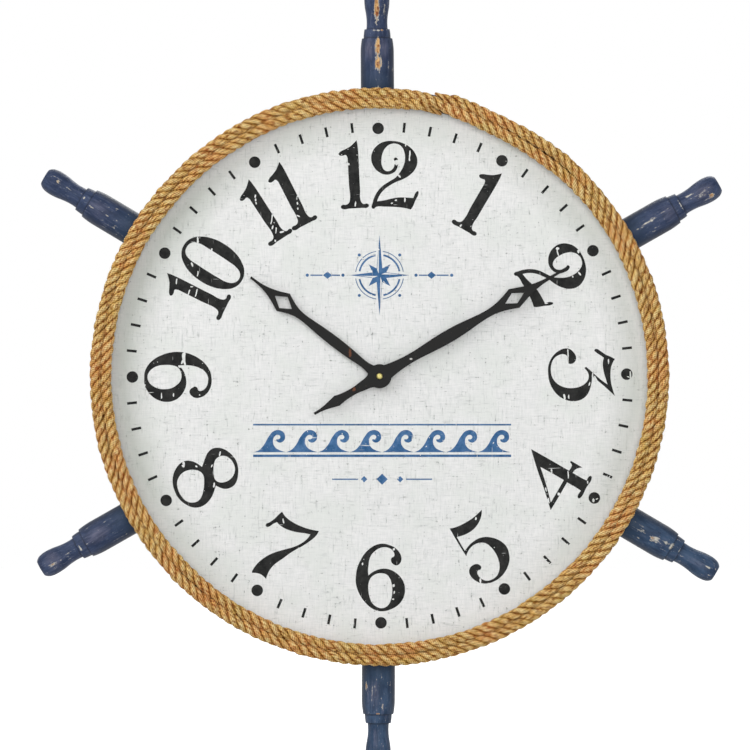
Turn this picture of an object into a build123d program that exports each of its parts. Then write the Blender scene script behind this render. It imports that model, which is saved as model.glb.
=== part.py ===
from build123d import *
import math
import os

# A wall clock made as a ship's wheel, in millimetres.
# The pieces are drawn lying face up: X to the right, Y up the dial, Z from the wall to the viewer.
# stand() then turns them upright, so that the wall is the plane y = 0 and the dial faces -Y.

# The whole wheel
handle_count = 6
handle_step = 360 / handle_count
top_direction = 90.0
quarter_turn = 90.0
overrun = 1.0
touch_gap = 0.1

# The rim: a wooden ring with a ledge for the dial board
rim_inner_radius = 188.0
rim_width = 35.6
rim_depth = 32.0
rim_edge_radius = 1.6
ledge_width = 23.4
ledge_depth = 22.0

# The dial board and the linen glued on it
board_thickness = 5.0
board_side_gap = 0.4
linen_thickness = 0.6
dial_hole_radius = 4.3

# The rope: two rows on the rim's front, laid from the inner row out
rope_diameter = 8.3
rope_row_gap = 0.6
rope_edge_inset = 1.8
rope_free_end_direction = 81.3
rope_step_angle = 7.0
rope_measuring_share = 0.25

# How far each handle stands off an even sixth of a turn, in degrees anticlockwise, clockwise from the top one
handle_leans = [0.4, -0.4, -0.4, -0.2, -0.4, -0.8]

# The handles, each length measured from where the one before it ends
handle_diameter = 26.0
socket_depth = 4.0
socket_side_gap = 0.2
barrel_length = 29.4
shoulder_length = 11.4
shoulder_end_diameter = 23.8
collar_diameter = 21.2
collar_length = 7.1
collar_end_diameter = 19.8
neck_diameter = 16.8
neck_length = 5.0
waist_diameter = 16.2
grip_length = 18.8
swell_diameter = 19.8
crown_length = 5.3
crown_diameter = 18.4
tip_length = 4.4
tip_flat_diameter = 12.2

# The wood screws that hold the handles
handle_screw_length = 58.0
handle_screw_diameter = 4.6
handle_screw_head_diameter = 8.8
handle_screw_head_height = 3.0
handle_screw_point_length = 7.0
handle_screw_sink = 0.5
screw_hole_gap = 0.15
cross_slot_share = 0.16
cross_depth_share = 0.6

# The hanger: a keyhole plate let into the ring's back
hanger_plate_length = 44.0
hanger_plate_width = 18.0
hanger_plate_thickness = 1.5
hanger_plate_corner_radius = 4.0
hanger_plate_side_gap = 0.2
keyhole_entry_radius = 4.6
keyhole_entry_drop = 2.6
keyhole_slot_width = 4.8
keyhole_slot_rise = 4.4
hanger_pocket_width = 15.0
hanger_pocket_height = 15.6
hanger_pocket_depth = 6.5
hanger_screw_spacing = 34.0
hanger_screw_diameter = 3.0
hanger_screw_head_diameter = 5.6
hanger_screw_head_height = 1.4
hanger_screw_length = 12.0
hanger_screw_point_length = 3.0

# The movement: its moulded case, battery tray and cover
movement_side = 56.0
movement_corner_radius = 3.0
case_wall = 1.0
case_front_wall = 1.5
tray_height = 15.5
tray_divider = 1.0
cover_thickness = 1.4
cover_side_gap = 0.15
cover_post_side = 3.0
rubber_washer_thickness = 0.8
rubber_washer_radius = 9.0
bush_radius = 4.0
bush_past_nut = 0.9
bush_bore_gap = 0.08
brass_washer_thickness = 0.5
brass_washer_radius = 7.0
washer_hole_gap = 0.1
nut_across_flats = 11.0
nut_thickness = 2.0

# The battery and its contacts
battery_radius = 7.1
battery_length = 50.5
battery_nub_radius = 2.75
battery_nub_length = 1.3
battery_edge_radius = 0.5
battery_lift = 0.1
contact_thickness = 0.4
contact_width = 7.0
contact_height = 9.0
contact_gap = 0.05

# The going train, with each wheel's height above the one behind it
arbor_radius = 0.5
pivot_gap = 0.05
pivot_depth = 0.7
wheel_thickness = 0.8
wheel_gap = 0.05
train_module = 0.22
centre_module = 0.23
fifth_module = 0.24
rotor_pinion_teeth = 10
fifth_wheel_teeth = 50
fifth_pinion_teeth = 8
second_wheel_teeth = 48
second_pinion_teeth = 8
third_wheel_teeth = 60
third_pinion_teeth = 8
centre_wheel_teeth = 64
fifth_wheel_rise = 1.1
second_wheel_rise = 2.0
third_wheel_rise = 2.8
centre_wheel_rise = 2.6
pinion_overlap = 0.6
centre_hub_radius = 2.9
third_direction = 20.0
second_direction = 75.0
fifth_direction = 160.0
rotor_direction = 160.0
magnet_radius = 3.0
magnet_thickness = 2.4
magnet_rise = 1.2

# The motion work: cannon pinion, minute wheel and hour wheel
motion_distance = 9.0
motion_direction = 140.0
cannon_teeth = 12
minute_wheel_teeth = 36
minute_pinion_teeth = 10
hour_wheel_teeth = 40
minute_wheel_rise = 1.9
hour_wheel_rise = 2.1
hour_wheel_end_gap = 0.3
minute_arbor_radius = 1.65
minute_arbor_rear_radius = 0.7
arbor_tip_radius = 1.25
hour_pipe_radius = 2.65
pipe_bore_gap = 0.08
stem_radius = 1.0
knob_radius = 5.0
knob_thickness = 2.4
knob_gap = 0.6
knob_flutes = 18
knob_flute_radius = 0.55
press_gap = 0.02

# The electrical pieces
magnet_gap = 0.4
stator_thickness = 0.8
stator_rise = 1.1
stator_length = 30.0
stator_rotor_share = 2 / 3
stator_rim = 0.9
stator_ear_length = 5.0
core_width = 2.6
core_thickness = 1.0
coil_radius = 3.2
coil_length = 17.0
coil_flange_thickness = 0.7
coil_flange_overhang = 0.4
coil_wall_gap = 0.4
core_gap = 0.1
circuit_board_width = 10.0
circuit_board_height = 22.0
circuit_board_thickness = 1.0
circuit_board_side_gap = 1.2
circuit_post_length = 2.1
circuit_post_radius = 1.2
circuit_post_spacing_share = 0.8
crystal_radius = 1.0
crystal_length = 6.0
crystal_edge_radius = 0.25

# The hands, pointing to ten past ten
hand_thickness = 0.8
hand_spacing = 1.6
hand_hub_radius = 9.4
hand_collar_radius = 3.8
hand_collar_height = 0.8
hand_collar_gap = 0.2
hour_hand_length = 126.7
hour_hand_half_width = 8.5
hour_hand_direction = 142.5
minute_hand_length = 169.5
minute_hand_half_width = 8.4
minute_hand_direction = 30.0
minute_tail_length = 58.8
minute_tail_half_width = 4.4
hand_nut_radius = 2.5
hand_nut_height = 2.2
hand_nut_bore_depth = 1.5
hand_nut_dome_share = 0.6

# Outlines of the hands: (share of the length, share of the half width) along one edge
hour_shaft_shares = [
    (0.03, 0.66), (0.075, 0.43), (0.125, 0.35), (0.19, 0.41), (0.26, 0.465), (0.345, 0.49),
    (0.44, 0.455), (0.52, 0.38), (0.58, 0.335), (0.62, 0.355), (0.66, 0.47), (0.70, 0.68), (0.747, 1.0),
]
hour_head_shares = [
    (0.747, 1.0), (0.79, 0.71), (0.822, 0.515), (0.855, 0.355), (0.89, 0.23), (0.93, 0.145), (1.0, 0.115),
]
hour_opening_shares = [(0.68, 0.0), (0.745, 0.64), (0.812, 0.0)]
minute_shaft_shares = [
    (0.02, 0.80), (0.06, 0.63), (0.11, 0.49), (0.18, 0.43), (0.26, 0.515), (0.35, 0.60), (0.45, 0.53),
    (0.56, 0.345), (0.61, 0.39), (0.67, 0.67), (0.715, 1.0),
]
minute_head_shares = [(0.715, 1.0), (0.757, 0.70), (0.80, 0.42), (0.845, 0.235), (0.885, 0.155), (1.0, 0.12)]
minute_opening_shares = [(0.668, 0.0), (0.717, 0.53), (0.767, 0.0)]
tail_shaft_shares = [
    (0.06, 1.65), (0.13, 1.24), (0.19, 0.97), (0.25, 0.88), (0.33, 0.71), (0.42, 0.64), (0.50, 0.67),
    (0.585, 0.81), (0.65, 1.0),
]
tail_head_shares = [(0.65, 1.0), (0.75, 0.66), (0.83, 0.41), (0.90, 0.28), (1.0, 0.24)]

# Tooth outlines, in shares of the module and of the tooth pitch
addendum_share = 0.9
pinion_addendum_share = 0.8
dedendum_share = 1.2
tooth_root_share = 0.23
tooth_tip_share = 0.08

# Places worked out from the sizes above: distances from the dial's centre
rim_outer_radius = rim_inner_radius + rim_width
ledge_radius = rim_inner_radius + ledge_width
board_radius = ledge_radius - board_side_gap
rope_row_pitch = rope_diameter + rope_row_gap
rope_outer_row_radius = rim_outer_radius - rope_edge_inset
rope_inner_row_radius = rope_outer_row_radius - rope_row_pitch
socket_floor = rim_outer_radius - socket_depth
socket_radius = handle_diameter / 2 + socket_side_gap
shoulder_start = rim_outer_radius + barrel_length
shoulder_end = shoulder_start + shoulder_length
collar_end = shoulder_end + collar_length
waist_distance = collar_end + neck_length
swell_distance = waist_distance + grip_length
crown_distance = swell_distance + crown_length
tip_radius = crown_distance + tip_length
hanger_height_on_dial = (rim_inner_radius + rim_outer_radius) / 2

# Heights above the wall
handle_depth = rim_depth / 2
board_front = ledge_depth + board_thickness
dial_face = board_front + linen_thickness
rope_height = rim_depth + touch_gap + rope_diameter / 2
nut_back = dial_face + brass_washer_thickness
bush_end_depth = nut_back + nut_thickness + bush_past_nut
hour_hand_depth = bush_end_depth + hand_collar_gap + hand_collar_height
minute_hand_depth = hour_hand_depth + hand_thickness + hand_spacing
arbor_tip_depth = minute_hand_depth + hand_thickness + hand_nut_bore_depth - touch_gap
movement_front = ledge_depth - rubber_washer_thickness
front_wall_back = movement_front - case_front_wall
hour_wheel_depth = front_wall_back - hour_wheel_end_gap - wheel_thickness
minute_wheel_depth = hour_wheel_depth - hour_wheel_rise
centre_wheel_depth = minute_wheel_depth - minute_wheel_rise
third_wheel_depth = centre_wheel_depth - centre_wheel_rise
second_wheel_depth = third_wheel_depth - third_wheel_rise
fifth_wheel_depth = second_wheel_depth - second_wheel_rise
cover_front = fifth_wheel_depth - fifth_wheel_rise
movement_back = cover_front - cover_thickness
magnet_depth = fifth_wheel_depth + wheel_thickness + pinion_overlap + magnet_rise
stator_depth = magnet_depth + stator_rise
circuit_board_depth = front_wall_back - circuit_post_length - circuit_board_thickness

# Places inside the movement
case_inner_half = movement_side / 2 - case_wall
tray_bottom = -case_inner_half
tray_top = tray_bottom + tray_height
train_bottom = tray_top + tray_divider
coil_flange_radius = coil_radius + coil_flange_overhang
core_height_on_dial = case_inner_half - coil_wall_gap - coil_flange_radius
circuit_board_x = -case_inner_half + circuit_board_side_gap + circuit_board_width / 2
circuit_board_y = (train_bottom + case_inner_half) / 2


def polar(distance, direction):
    return Vector(distance * math.cos(math.radians(direction)), distance * math.sin(math.radians(direction)))


def disc(radius, back, front, place=Vector(0, 0)):
    """A cylinder square to the wall, from one height above the wall to another."""
    cylinder = Cylinder(radius, front - back, align=(Align.CENTER, Align.CENTER, Align.MIN))
    return Pos(place.X, place.Y, back) * cylinder


def ring(outer_radius, inner_radius, back, front, place=Vector(0, 0)):
    return disc(outer_radius, back, front, place) - disc(inner_radius, back - overrun, front + overrun, place)


def block(left, right, bottom, top, back, front):
    box = Box(right - left, top - bottom, front - back, align=(Align.MIN, Align.MIN, Align.MIN))
    return Pos(left, bottom, back) * box


def slab(outline, back, front):
    return Pos(0, 0, back) * extrude(outline, front - back)


def outward(shape, direction):
    """Turns a piece drawn along +Z from the dial's centre to lie along a spoke of the wheel."""
    return Pos(0, 0, handle_depth) * Rot(0, 0, direction) * Rot(0, 90, 0) * shape


def spoke_directions():
    return [top_direction - index * handle_step + handle_leans[index] for index in range(handle_count)]


# The rim

def wood_screw(length, diameter, head_diameter, head_height, point_length):
    """A countersunk screw with its head's top on z = 0 and its point up the Z axis."""
    shank = length - head_height - point_length
    head = Cone(head_diameter / 2, diameter / 2, head_height, align=(Align.CENTER, Align.CENTER, Align.MIN))
    body = Cylinder(diameter / 2, shank, align=(Align.CENTER, Align.CENTER, Align.MIN))
    point = Cone(diameter / 2, 0, point_length, align=(Align.CENTER, Align.CENTER, Align.MIN))
    screw = head + Pos(0, 0, head_height) * body + Pos(0, 0, head_height + shank) * point
    slot_width = head_diameter * cross_slot_share
    slot_length = head_diameter * cross_depth_share
    slot_depth = head_height * cross_depth_share
    for turn in (0, quarter_turn):
        screw -= Rot(0, 0, turn) * Box(slot_length, slot_width, slot_depth * 2)
    return screw


def screw_hole(length, diameter, head_diameter, head_height, sink_depth=0.0):
    """The room for such a screw whose head's top, on z = 0, lies sink_depth below the surface."""
    radius = diameter / 2 + screw_hole_gap
    head_radius = head_diameter / 2 + screw_hole_gap
    hole = Cylinder(radius, length, align=(Align.CENTER, Align.CENTER, Align.MIN))
    sink = Cone(head_radius, radius, head_height, align=(Align.CENTER, Align.CENTER, Align.MIN))
    mouth = Cylinder(head_radius, sink_depth + overrun, align=(Align.CENTER, Align.CENTER, Align.MAX))
    return hole + sink + mouth


def hanger_outline(side_gap):
    return Pos(0, hanger_height_on_dial) * RectangleRounded(
        hanger_plate_length + 2 * side_gap,
        hanger_plate_width + 2 * side_gap,
        hanger_plate_corner_radius + side_gap,
    )


def hanger_screw_places():
    return [Vector(side * hanger_screw_spacing / 2, hanger_height_on_dial) for side in (-1, 1)]


def rim_ring():
    solid = ring(rim_outer_radius, rim_inner_radius, 0, rim_depth)
    outer_edges = solid.edges().filter_by(GeomType.CIRCLE).group_by(SortBy.RADIUS)[-1]
    solid = fillet(outer_edges, rim_edge_radius)
    solid -= disc(ledge_radius, ledge_depth, rim_depth + overrun)
    screw_start = rim_inner_radius + handle_screw_sink
    socket_length = socket_depth + overrun
    socket = Cylinder(socket_radius, socket_length, align=(Align.CENTER, Align.CENTER, Align.MIN))
    hole = screw_hole(
        socket_floor - screw_start + overrun,
        handle_screw_diameter,
        handle_screw_head_diameter,
        handle_screw_head_height,
        handle_screw_sink,
    )
    for direction in spoke_directions():
        solid -= outward(Pos(0, 0, socket_floor) * socket, direction)
        solid -= outward(Pos(0, 0, screw_start) * hole, direction)
    solid -= slab(hanger_outline(hanger_plate_side_gap), -overrun, hanger_plate_thickness)
    pocket = Pos(0, hanger_height_on_dial) * RectangleRounded(
        hanger_pocket_width, hanger_pocket_height, hanger_plate_corner_radius
    )
    solid -= slab(pocket, 0, hanger_plate_thickness + hanger_pocket_depth)
    for place in hanger_screw_places():
        solid -= disc(hanger_screw_diameter / 2 + screw_hole_gap, 0, hanger_screw_length + overrun, place)
    return solid


def handle_profile():
    """Half the handle's section: X is the radius and Y the distance from the dial's centre."""
    bottom = (0, socket_floor)
    base = (handle_diameter / 2, socket_floor)
    shoulder = (handle_diameter / 2, shoulder_start)
    shoulder_top = (shoulder_end_diameter / 2, shoulder_end)
    collar = (collar_diameter / 2, shoulder_end)
    collar_top = (collar_end_diameter / 2, collar_end)
    neck = (neck_diameter / 2, collar_end)
    waist = (waist_diameter / 2, waist_distance)
    swell = (swell_diameter / 2, swell_distance)
    turning_point = ((waist[0] + swell[0]) / 2, (waist[1] + swell[1]) / 2)
    crown = (crown_diameter / 2, crown_distance)
    tip_edge = (tip_flat_diameter / 2, tip_radius)
    outward_way = (0, 1)
    inward_way = (0, -1)
    crown_side = TangentArc([swell, crown], tangent=outward_way)
    return make_face([
        Polyline([bottom, base, shoulder]),
        TangentArc([shoulder, shoulder_top], tangent=outward_way),
        Line(shoulder_top, collar),
        TangentArc([collar, collar_top], tangent=outward_way),
        Line(collar_top, neck),
        TangentArc([waist, neck], tangent=inward_way),
        TangentArc([waist, turning_point], tangent=outward_way),
        TangentArc([swell, turning_point], tangent=inward_way),
        crown_side,
        TangentArc([crown, tip_edge], tangent=crown_side % 1),
        Polyline([tip_edge, (0, tip_radius), bottom]),
    ])


def handle(direction):
    upright = Rot(90, 0, 0) * handle_profile()
    solid = revolve(upright, Axis.Z)
    pilot_length = rim_inner_radius + handle_screw_sink + handle_screw_length - socket_floor
    pilot = Cylinder(
        handle_screw_diameter / 2 + screw_hole_gap,
        pilot_length + 2 * overrun,
        align=(Align.CENTER, Align.CENTER, Align.MIN),
    )
    solid -= Pos(0, 0, socket_floor - overrun) * pilot
    return outward(solid, direction)


def handle_screws():
    screw = wood_screw(
        handle_screw_length,
        handle_screw_diameter,
        handle_screw_head_diameter,
        handle_screw_head_height,
        handle_screw_point_length,
    )
    placed = Pos(0, 0, rim_inner_radius + handle_screw_sink) * screw
    return [outward(placed, direction) for direction in spoke_directions()]


def hanger_plate():
    outline = hanger_outline(0)
    entry = Vector(0, hanger_height_on_dial - keyhole_entry_drop)
    slot_top = Vector(0, hanger_height_on_dial + keyhole_slot_rise)
    outline -= Pos(entry.X, entry.Y) * Circle(keyhole_entry_radius)
    slot = Rot(0, 0, quarter_turn) * SlotCenterToCenter(slot_top.Y - entry.Y, keyhole_slot_width)
    outline -= Pos(0, (slot_top.Y + entry.Y) / 2) * slot
    plate = slab(outline, 0, hanger_plate_thickness)
    hole = screw_hole(
        hanger_plate_thickness + overrun,
        hanger_screw_diameter,
        hanger_screw_head_diameter,
        hanger_screw_head_height,
    )
    for place in hanger_screw_places():
        plate -= Pos(place.X, place.Y, 0) * hole
    return plate


def hanger_screws():
    screw = wood_screw(
        hanger_screw_length,
        hanger_screw_diameter,
        hanger_screw_head_diameter,
        hanger_screw_head_height,
        hanger_screw_point_length,
    )
    return [Pos(place.X, place.Y, 0) * screw for place in hanger_screw_places()]


# The dial

def dial_board():
    return ring(board_radius, dial_hole_radius, ledge_depth, board_front)


def dial_linen():
    return ring(board_radius, dial_hole_radius, board_front, dial_face)


# The rope

def row_arcs(radius, start, end):
    """A row's arc in equal pieces, each of a quarter turn or less."""
    count = math.ceil((end - start) / quarter_turn)
    piece = (end - start) / count
    arcs = []
    for index in range(count):
        low = start + index * piece
        high = low + piece
        arcs.append(ThreePointArc(polar(radius, low), polar(radius, (low + high) / 2), polar(radius, high)))
    return arcs


def step_between_rows(start, start_heading, end, end_heading):
    """A biarc from one row to the next, tangent to both rows."""
    chord = end - start
    turning = 2 * (1 - start_heading.dot(end_heading))
    along = chord.dot(start_heading + end_heading)
    reach = (math.sqrt(along * along + turning * chord.dot(chord)) - along) / turning
    middle = (start + end + (start_heading - end_heading) * reach) / 2
    first = TangentArc([start, middle], tangent=start_heading)
    return [first, TangentArc([middle, end], tangent=first % 1)]


def rope_path():
    """From the free end in the inner row, anticlockwise round the dial, a step out, and round again.

    The step ends beside the free end that the rope starts with.
    The outer row ends beside the step's start.
    Both ends are straight for one diameter.
    """
    inner_radius = rope_inner_row_radius
    outer_radius = rope_outer_row_radius
    step_end = rope_free_end_direction + 360
    step_start = step_end - rope_step_angle
    inner_start = rope_free_end_direction + math.degrees(rope_diameter / inner_radius)
    outer_end = step_start + 360 - math.degrees(rope_diameter / outer_radius)
    first = polar(inner_radius, inner_start)
    last = polar(outer_radius, outer_end)
    return [
        Line(first - polar(rope_diameter, inner_start + quarter_turn), first),
        *row_arcs(inner_radius, inner_start, step_start),
        *step_between_rows(
            polar(inner_radius, step_start),
            polar(1, step_start + quarter_turn),
            polar(outer_radius, step_end),
            polar(1, step_end + quarter_turn),
        ),
        *row_arcs(outer_radius, step_end, outer_end),
        Line(last, last + polar(rope_diameter, outer_end + quarter_turn)),
    ]


def rope_least_gap(path):
    """The least clear distance between stretches of the rope that aren't next to each other along it."""
    spacing = rope_diameter * rope_measuring_share
    points = []
    for edge in path:
        count = math.ceil(edge.length / spacing)
        points += [tuple(edge.position_at(index / count)) for index in range(count)]
    neighbours = math.ceil(2 / rope_measuring_share)
    least = math.inf
    for index, point in enumerate(points):
        for other in points[index + neighbours:]:
            least = min(least, math.dist(point, other))
    return least - rope_diameter


def rope_wrap():
    path = rope_path()
    print("rope length", round(sum(edge.length for edge in path), 1))
    print("rope's least gap to itself", round(rope_least_gap(path), 2))
    wire = Wire(path)
    section = Plane(wire @ 0, z_dir=wire % 0) * Circle(rope_diameter / 2)
    tube = sweep(section, path=wire)
    print("rope's volume over section times length", round(tube.volume / section.area / wire.length, 4))
    return Pos(0, 0, rope_height) * tube


# Toothed wheels

def gear_outline(teeth, module, addendum, turn):
    """Straight-sided teeth: four points to a tooth, the first tooth's middle at the given turn."""
    pitch_radius = teeth * module / 2
    tip_radius_here = pitch_radius + addendum * module
    root_radius = pitch_radius - dedendum_share * module
    pitch = 360 / teeth
    corners = []
    for tooth in range(teeth):
        middle = turn + tooth * pitch
        corners.append(polar(root_radius, middle - tooth_root_share * pitch))
        corners.append(polar(tip_radius_here, middle - tooth_tip_share * pitch))
        corners.append(polar(tip_radius_here, middle + tooth_tip_share * pitch))
        corners.append(polar(root_radius, middle + tooth_root_share * pitch))
    return make_face(Polyline(corners, close=True))


def wheel(teeth, module, back, front, place, turn=0.0):
    return Pos(place.X, place.Y) * slab(gear_outline(teeth, module, addendum_share, turn), back, front)


def pinion(teeth, module, back, front, place, turn=0.0):
    return Pos(place.X, place.Y) * slab(gear_outline(teeth, module, pinion_addendum_share, turn), back, front)


def mesh_turn(direction, driver_teeth, driver_turn, driven_teeth):
    """The turn that puts a gap of the driven gear over the driver's tooth, seen along their centres."""
    driver_phase = (direction - driver_turn) * driver_teeth / 360
    return direction + 180 + (0.5 + driver_phase) * 360 / driven_teeth


def mesh_distance(teeth, other_teeth, module):
    return (teeth + other_teeth) * module / 2


centre_place = Vector(0, 0)
third_place = centre_place + polar(
    mesh_distance(centre_wheel_teeth, third_pinion_teeth, centre_module), third_direction
)
second_place = third_place + polar(
    mesh_distance(third_wheel_teeth, second_pinion_teeth, train_module), second_direction
)
fifth_place = second_place + polar(
    mesh_distance(second_wheel_teeth, fifth_pinion_teeth, fifth_module), fifth_direction
)
rotor_place = fifth_place + polar(
    mesh_distance(fifth_wheel_teeth, rotor_pinion_teeth, train_module), rotor_direction
)
minute_wheel_place = centre_place + polar(motion_distance, motion_direction)
pivoted_places = [third_place, second_place, fifth_place, rotor_place]
stator_left = rotor_place.X - stator_length * stator_rotor_share
stator_right = stator_left + stator_length
arbor_back = cover_front - pivot_depth + touch_gap
arbor_front = front_wall_back + pivot_depth - touch_gap


def train_arbor(place, front=arbor_front):
    return disc(arbor_radius, arbor_back, front, place)


def rotor():
    turn = mesh_turn(rotor_direction, fifth_wheel_teeth, 0.0, rotor_pinion_teeth)
    leaves_back = fifth_wheel_depth - pinion_overlap
    leaves_front = fifth_wheel_depth + wheel_thickness + pinion_overlap
    solid = pinion(rotor_pinion_teeth, train_module, leaves_back, leaves_front, rotor_place, turn)
    solid += train_arbor(rotor_place)
    solid += disc(magnet_radius, magnet_depth, magnet_depth + magnet_thickness, rotor_place)
    return solid


def fifth_wheel():
    turn = mesh_turn(fifth_direction, second_wheel_teeth, 0.0, fifth_pinion_teeth)
    wheel_front = fifth_wheel_depth + wheel_thickness
    leaves_front = second_wheel_depth + wheel_thickness + pinion_overlap
    solid = wheel(fifth_wheel_teeth, train_module, fifth_wheel_depth, wheel_front, fifth_place)
    solid += pinion(fifth_pinion_teeth, fifth_module, wheel_front, leaves_front, fifth_place, turn)
    return solid + train_arbor(fifth_place)


def second_wheel():
    turn = mesh_turn(second_direction, third_wheel_teeth, 0.0, second_pinion_teeth)
    wheel_front = second_wheel_depth + wheel_thickness
    leaves_front = third_wheel_depth + wheel_thickness + pinion_overlap
    solid = wheel(second_wheel_teeth, fifth_module, second_wheel_depth, wheel_front, second_place)
    solid += pinion(second_pinion_teeth, train_module, wheel_front, leaves_front, second_place, turn)
    return solid + train_arbor(second_place)


def third_wheel():
    turn = mesh_turn(third_direction, centre_wheel_teeth, 0.0, third_pinion_teeth)
    wheel_front = third_wheel_depth + wheel_thickness
    leaves_front = centre_wheel_depth + wheel_thickness + pinion_overlap
    solid = wheel(third_wheel_teeth, train_module, third_wheel_depth, wheel_front, third_place)
    solid += pinion(third_pinion_teeth, centre_module, wheel_front, leaves_front, third_place, turn)
    return solid + train_arbor(third_place)


def centre_wheel():
    front = centre_wheel_depth + wheel_thickness
    solid = wheel(centre_wheel_teeth, centre_module, centre_wheel_depth, front, centre_place)
    solid += disc(centre_hub_radius, front, front + pinion_overlap)
    return solid - disc(minute_arbor_radius + wheel_gap, 0, rim_depth)


cannon_module = 2 * motion_distance / (cannon_teeth + minute_wheel_teeth)
hour_module = 2 * motion_distance / (minute_pinion_teeth + hour_wheel_teeth)
cannon_back = minute_wheel_depth - pinion_overlap / 2
cannon_front = minute_wheel_depth + wheel_thickness + pinion_overlap / 2
minute_arbor_back = centre_wheel_depth - wheel_thickness


def minute_arbor():
    solid = disc(minute_arbor_radius, minute_arbor_back, minute_hand_depth)
    solid += disc(minute_arbor_rear_radius, arbor_back, minute_arbor_back)
    solid += disc(arbor_tip_radius, minute_hand_depth, arbor_tip_depth)
    return solid + pinion(cannon_teeth, cannon_module, cannon_back, cannon_front, centre_place)


def minute_wheel():
    wheel_turn = mesh_turn(motion_direction, cannon_teeth, 0.0, minute_wheel_teeth)
    wheel_front = minute_wheel_depth + wheel_thickness
    leaves_front = hour_wheel_depth + wheel_thickness
    place = minute_wheel_place
    solid = wheel(minute_wheel_teeth, cannon_module, minute_wheel_depth, wheel_front, place, wheel_turn)
    solid += pinion(minute_pinion_teeth, hour_module, wheel_front, leaves_front, place)
    solid += disc(arbor_radius, leaves_front, arbor_front, place)
    return solid + disc(stem_radius, movement_back - knob_gap - knob_thickness / 2, minute_wheel_depth, place)


def setting_knob():
    front = movement_back - knob_gap
    solid = disc(knob_radius, front - knob_thickness, front, minute_wheel_place)
    for flute in range(knob_flutes):
        place = minute_wheel_place + polar(knob_radius, flute * 360 / knob_flutes)
        solid -= disc(knob_flute_radius, 0, front + overrun, place)
    bore_back = front - knob_thickness / 2
    return solid - disc(stem_radius + press_gap, bore_back, front + overrun, minute_wheel_place)


def hour_wheel():
    turn = mesh_turn(motion_direction + 180, minute_pinion_teeth, 0.0, hour_wheel_teeth)
    front = hour_wheel_depth + wheel_thickness
    solid = wheel(hour_wheel_teeth, hour_module, hour_wheel_depth, front, centre_place, turn)
    solid += disc(hour_pipe_radius, hour_wheel_depth, hour_hand_depth + hand_thickness)
    return solid - disc(minute_arbor_radius + pipe_bore_gap, 0, minute_hand_depth)


# The hands

def edge_points(length, half_width, shares):
    return [Vector(along * length, across * half_width) for along, across in shares]


def mirrored(points):
    return [Vector(point.X, -point.Y) for point in reversed(points)]


def blade_outline(length, half_width, shaft_shares, head_shares):
    """A hand's blade along +X: a curve up the shaft to the widest place, then one to the blunt tip."""
    shaft = edge_points(length, half_width, shaft_shares)
    head = edge_points(length, half_width, head_shares)
    low_head = mirrored(head)
    low_shaft = mirrored(shaft)
    edges = [
        Spline(shaft),
        Spline(head),
        Line(head[-1], low_head[0]),
        Spline(low_head),
        Spline(low_shaft),
        Line(low_shaft[-1], shaft[0]),
    ]
    return make_face(edges)


def opening_outline(length, half_width, shares):
    points = edge_points(length, half_width, shares)
    return make_face(Polyline(points + mirrored(points[1:-1]), close=True))


def hour_hand():
    outline = blade_outline(hour_hand_length, hour_hand_half_width, hour_shaft_shares, hour_head_shares)
    outline -= opening_outline(hour_hand_length, hour_hand_half_width, hour_opening_shares)
    outline += Circle(hand_hub_radius)
    pointed = Rot(0, 0, hour_hand_direction) * outline
    solid = slab(pointed, hour_hand_depth, hour_hand_depth + hand_thickness)
    solid += disc(hand_collar_radius, hour_hand_depth - hand_collar_height, hour_hand_depth)
    return solid - disc(hour_pipe_radius + press_gap, 0, minute_hand_depth)


def minute_hand():
    length = minute_hand_length
    half_width = minute_hand_half_width
    outline = blade_outline(length, half_width, minute_shaft_shares, minute_head_shares)
    outline -= opening_outline(length, half_width, minute_opening_shares)
    tail = blade_outline(minute_tail_length, minute_tail_half_width, tail_shaft_shares, tail_head_shares)
    outline += Rot(0, 0, 2 * quarter_turn) * tail
    outline += Circle(hand_hub_radius)
    pointed = Rot(0, 0, minute_hand_direction) * outline
    solid = slab(pointed, minute_hand_depth, minute_hand_depth + hand_thickness)
    return solid - disc(arbor_tip_radius + press_gap, 0, arbor_tip_depth + overrun)


def hand_nut():
    back = minute_hand_depth + hand_thickness
    solid = disc(hand_nut_radius, back, back + hand_nut_height)
    front_edge = solid.edges().filter_by(GeomType.CIRCLE).sort_by(Axis.Z)[-1]
    solid = fillet(front_edge, hand_nut_height * hand_nut_dome_share)
    return solid - disc(arbor_tip_radius + press_gap, back - overrun, back + hand_nut_bore_depth)


# The movement's case and what clamps it to the board

def circuit_post_places():
    reach = circuit_board_height * circuit_post_spacing_share / 2
    return [Vector(circuit_board_x, circuit_board_y + side * reach) for side in (-1, 1)]


def movement_case():
    half = case_inner_half
    back = movement_back - overrun
    outline = RectangleRounded(movement_side, movement_side, movement_corner_radius)
    solid = slab(outline, movement_back, movement_front)
    solid -= block(-half, half, tray_bottom, tray_top, back, front_wall_back)
    solid -= block(-half, half, train_bottom, half, back, front_wall_back)
    for left in (-half, half - cover_post_side):
        for bottom in (train_bottom, half - cover_post_side):
            right = left + cover_post_side
            top = bottom + cover_post_side
            solid += block(left, right, bottom, top, cover_front, front_wall_back)
    circuit_board_front = circuit_board_depth + circuit_board_thickness
    for place in circuit_post_places():
        solid += disc(circuit_post_radius, circuit_board_front, front_wall_back, place)
    solid += disc(bush_radius, movement_front, bush_end_depth)
    bore_back = front_wall_back - overrun
    solid -= disc(hour_pipe_radius + bush_bore_gap, bore_back, bush_end_depth + overrun)
    for place in pivoted_places + [minute_wheel_place]:
        solid -= disc(arbor_radius + pivot_gap, bore_back, front_wall_back + pivot_depth, place)
    return solid


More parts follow.
